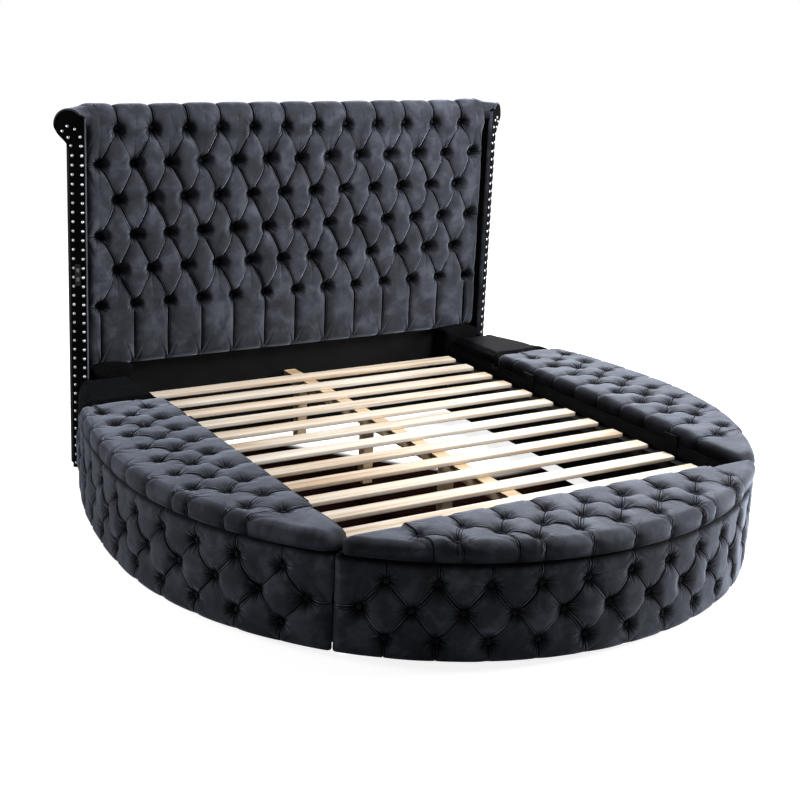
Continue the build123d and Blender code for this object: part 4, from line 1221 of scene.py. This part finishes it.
def lining(name, dark, pale):
    """Thin plain-woven lining cloth, about a thread per millimetre."""
    material, tree, shader, coords = new_material(name, **{
        "Roughness": 0.9, "Sheen Weight": 0.03, "Specular IOR Level": 0.08})
    soft = noise(tree, coords, 14.0, 3.0)
    tree.links.new(ramp(tree, soft, ((0.3, dark), (0.7, pale))), shader.inputs["Base Color"])
    warp, weft = (add(tree, "ShaderNodeTexWave", {"bands_direction": way}, {"Scale": 300.0},
                      {"Vector": coords}).outputs["Fac"] for way in "XZ")
    height = add(tree, "ShaderNodeMath", {"operation": "MULTIPLY_ADD"}, {1: 6.0},
                 {0: soft, 2: combine(tree, "MAXIMUM", warp, weft)})
    bumps(tree, shader, (height.outputs["Value"], 0.4, 0.0005))
    return material


def hard(name, colour, roughness, metallic, grain, depth, shine=0.5):
    """Metal or plastic: a fine grain varies its gloss and dents it slightly."""
    material, tree, shader, coords = new_material(name, **{
        "Base Color": linear(colour), "Metallic": metallic, "Specular IOR Level": shine})
    specks = noise(tree, coords, grain, 3.0)
    gloss = falloff(tree, specks, 0.0, 1.0, roughness * 0.8, roughness * 1.25, "LINEAR")
    tree.links.new(gloss, shader.inputs["Roughness"])
    bumps(tree, shader, (specks, 0.3, depth))
    return material


finishes = {
    "velvet": charcoal_velvet,
    "slat_wood": wood("planed softwood", "#CFC9C0", "#C3BAAD", "#A9947B", 26.0),
    "beam_wood": wood("sawn softwood", "#C9B79C", "#B5A184", "#8F7B5E", 18.0),
    "plywood": wood("birch plywood", "#D6B88C", "#C7A578", "#AB875B", 12.0),
    "rail_cloth": lining("black lining cloth", "#060708", "#0D0E11"),
    "black_cloth": lining("black polyester cloth", "#050505", "#0A0A0A"),
    "black_metal": hard("black powder coat", "#020203", 0.75, 0.0, 700.0, 0.0002, 0.08),
    "nail_metal": hard("chromed steel", "#D8D8DC", 0.36, 1.0, 120.0, 0.00002),
    "plate_plastic": hard("gloss black plastic", "#060607", 0.14, 0.0, 90.0, 0.0001),
    "port_plastic": hard("grey plastic", "#8A8C90", 0.45, 0.0, 500.0, 0.0002),
    "foot_plastic": hard("black plastic feet", "#0A0A0B", 0.5, 0.0, 400.0, 0.0003),
}
# the slat cleats are given a near-black softwood
near_black_wood = wood("black stained softwood", "#0B0A09", "#080706", "#050404", 18.0)
slots = {piece["node"]: piece["material_slot"] for piece in frame["record"]["subparts"]}
for name, node in frame["nodes"].items():
    node.data.materials.clear()
    node.data.materials.append(near_black_wood if name == "slat_cleats" else finishes[slots[name]])
mesh = spread("chromed_nails", nail, *nail_spots, finishes["nail_metal"], seed=8)
publish(mesh.name, mesh, "base", finishes["nail_metal"], "nail_metal", ["strip_nails"])

# %% [markdown]
# ## Slats
# Twelve planed slats lie on the cleats. Their long edges are rounded, and no two are cut from
# the same board: each slides along the grain pattern and takes a tone of its own.

# %% Slats
slat_count, slat_half, slat_step, slat_middle = 12, (800.0, 32.5, 9.0), 151.7, 317.0
slat = soft_block("slat pattern", [-size for size in slat_half], slat_half, 3.6)
spots = [(0, 1000 - slat_half[1] - slat_step * k + circle_y, slat_middle) for k in range(slat_count)]
mesh = spread("planed_slats", slat, np.array(spots), np.tile([0, 0, 1.0], (slat_count, 1)),
              finishes["slat_wood"], turn=0.0, seed=4)
publish(mesh.name, mesh, "base", finishes["slat_wood"], "slat_wood",
        [f"slat_{k:02d}" for k in range(1, slat_count + 1)])

# %% [markdown]
# ## Light, floor and camera
# The photo is a studio picture on white. One large softbox hangs over the bed and a second
# one stands behind it at the right, where it draws the bright rims on the right lid. Two more
# fill the sides. The white floor glows only for the camera, so it stays white but throws
# little light up on the walls, and it keeps a faint shadow. Under the slats the photo shows
# the floor in two tones: dark near the feet of the bed, and white where light comes in from
# behind. A thin plane there is painted with that edge, as a lamp can't reach it so sharply.


# %% Camera, lamps and floor
def soft_lamp(name, place, target, size, power):
    """A square softbox that points at a target, all in metres."""
    lamp = bpy.data.lights.new(name, "AREA")
    lamp.shape = "SQUARE"
    lamp.size, lamp.energy = size, power
    box = bpy.data.objects.new(name, lamp)
    box.location = place
    ahead = Vector(np.subtract(target, place))
    box.rotation_euler = ahead.to_track_quat("-Z", "Y").to_euler()
    bpy.context.collection.objects.link(box)


soft_lamp("softbox over the bed", (1.7, -0.9, 3.6), (-0.1, 0.7, 0.7), 1.4, 300)
soft_lamp("softbox behind at the right", (3.8, 4.4, 3.0), (0.6, -0.2, 0.4), 1.5, 330)
soft_lamp("softbox at the right", (6.5, -2.8, 2.2), (0.6, 0.0, 0.4), 1.6, 540)
soft_lamp("softbox at the left", (-4.8, 2.4, 1.6), (-1.0, 0.0, 0.3), 1.4, 170)

# the camera as fitted to the photo: turned about Z, then down, then about its own axis
yaw, pitch, roll = (math.radians(angle) for angle in (29.728, 14.075, 1.964))
camera_place = -2.8187, -4.2191, 2.0495
picture, focal, middle = 800, 1350.24, (338.97, 326.02)
forward = np.array([math.sin(yaw) * math.cos(pitch), math.cos(yaw) * math.cos(pitch), -math.sin(pitch)])
level = np.array([math.cos(yaw), -math.sin(yaw), 0])
over = np.cross(level, forward)
turn = np.eye(4)
turn[:3, 0] = math.cos(roll) * level + math.sin(roll) * over
turn[:3, 1] = math.cos(roll) * over - math.sin(roll) * level
turn[:3, 2], turn[:3, 3] = -forward, camera_place
lens = bpy.data.cameras.new("photographer")
lens.angle = 2 * math.atan(picture / 2 / focal)
lens.shift_x = (picture / 2 - middle[0]) / picture
lens.shift_y = (middle[1] - picture / 2) / picture
camera = bpy.data.objects.new("photographer", lens)
camera.matrix_world = Matrix(turn.tolist())
bpy.context.collection.objects.link(camera)
bpy.context.scene.camera = camera


def staged_plane(name, size, material):
    bpy.ops.mesh.primitive_plane_add(size=size, location=(0, 0, 0))
    plane = bpy.context.object
    plane.name = name
    plane.data.materials.append(material)
    return plane


def for_camera(tree, strength):
    """A strength that only the camera sees, so that the floor lights nothing."""
    seen = add(tree, "ShaderNodeLightPath").outputs["Is Camera Ray"]
    return combine(tree, "MULTIPLY", strength, seen)


white, tree, shader, coords = new_material("white studio floor", **{
    "Base Color": linear("#B4B4B4"), "Roughness": 0.9, "Emission Color": linear("#FFFFFF")})
away = add(tree, "ShaderNodeVectorMath", {"operation": "LENGTH"}, links={0: coords}).outputs["Value"]
tree.links.new(for_camera(tree, falloff(tree, away, 1.2, 2.0, 0.86, 1.0)), shader.inputs["Emission Strength"])
staged_plane("studio floor", 40, white)

# the floor under the slats lies in shade, except behind and to the right of the middle
under, tree, shader, coords = new_material("floor in the shade of the bed", **{
    "Roughness": 1.0, "Specular IOR Level": 0.0})
split = add(tree, "ShaderNodeSeparateXYZ", links={"Vector": coords}).outputs
slant = combine(tree, "ADD", combine(tree, "MULTIPLY", split["Y"], 0.83), split["X"])
bright = combine(tree, "MULTIPLY", falloff(tree, slant, 0.70, 0.80), falloff(tree, split["Y"], 0.24, 0.34))
tones = blend(tree, bright, "#160B08", "#FFFFFF")
for socket in ("Base Color", "Emission Color"):
    tree.links.new(tones, shader.inputs[socket])
tree.links.new(for_camera(tree, combine(tree, "MULTIPLY", bright, 0.8)), shader.inputs["Emission Strength"])
shaded_floor = staged_plane("shaded floor", 1, under)
shade_size, shade_back, shade_lift = (1.62, 1.88), 0.09, 0.001
for vert in shaded_floor.data.vertices:
    vert.co = (shade_size[0] * vert.co.x, shade_size[1] * vert.co.y + shade_back, shade_lift)

world = bpy.data.worlds.new("white room")
world.use_nodes = True
tree = world.node_tree
tree.nodes.clear()
rays = add(tree, "ShaderNodeLightPath")
seen = add(tree, "ShaderNodeBackground", inputs={"Color": linear("#FFFFFF"), "Strength": 1.0})
soft = add(tree, "ShaderNodeBackground", inputs={"Color": linear("#F4F6FA"), "Strength": 0.12})
mix = add(tree, "ShaderNodeMixShader", links={
    "Fac": rays.outputs["Is Camera Ray"], 1: soft.outputs["Background"], 2: seen.outputs["Background"]})
add(tree, "ShaderNodeOutputWorld", links={"Surface": mix.outputs["Shader"]})
bpy.context.scene.world = world
bpy.context.scene.view_settings.view_transform = "Standard"
print("lamps:", len(bpy.data.lights), "and a camera for", picture, "px")
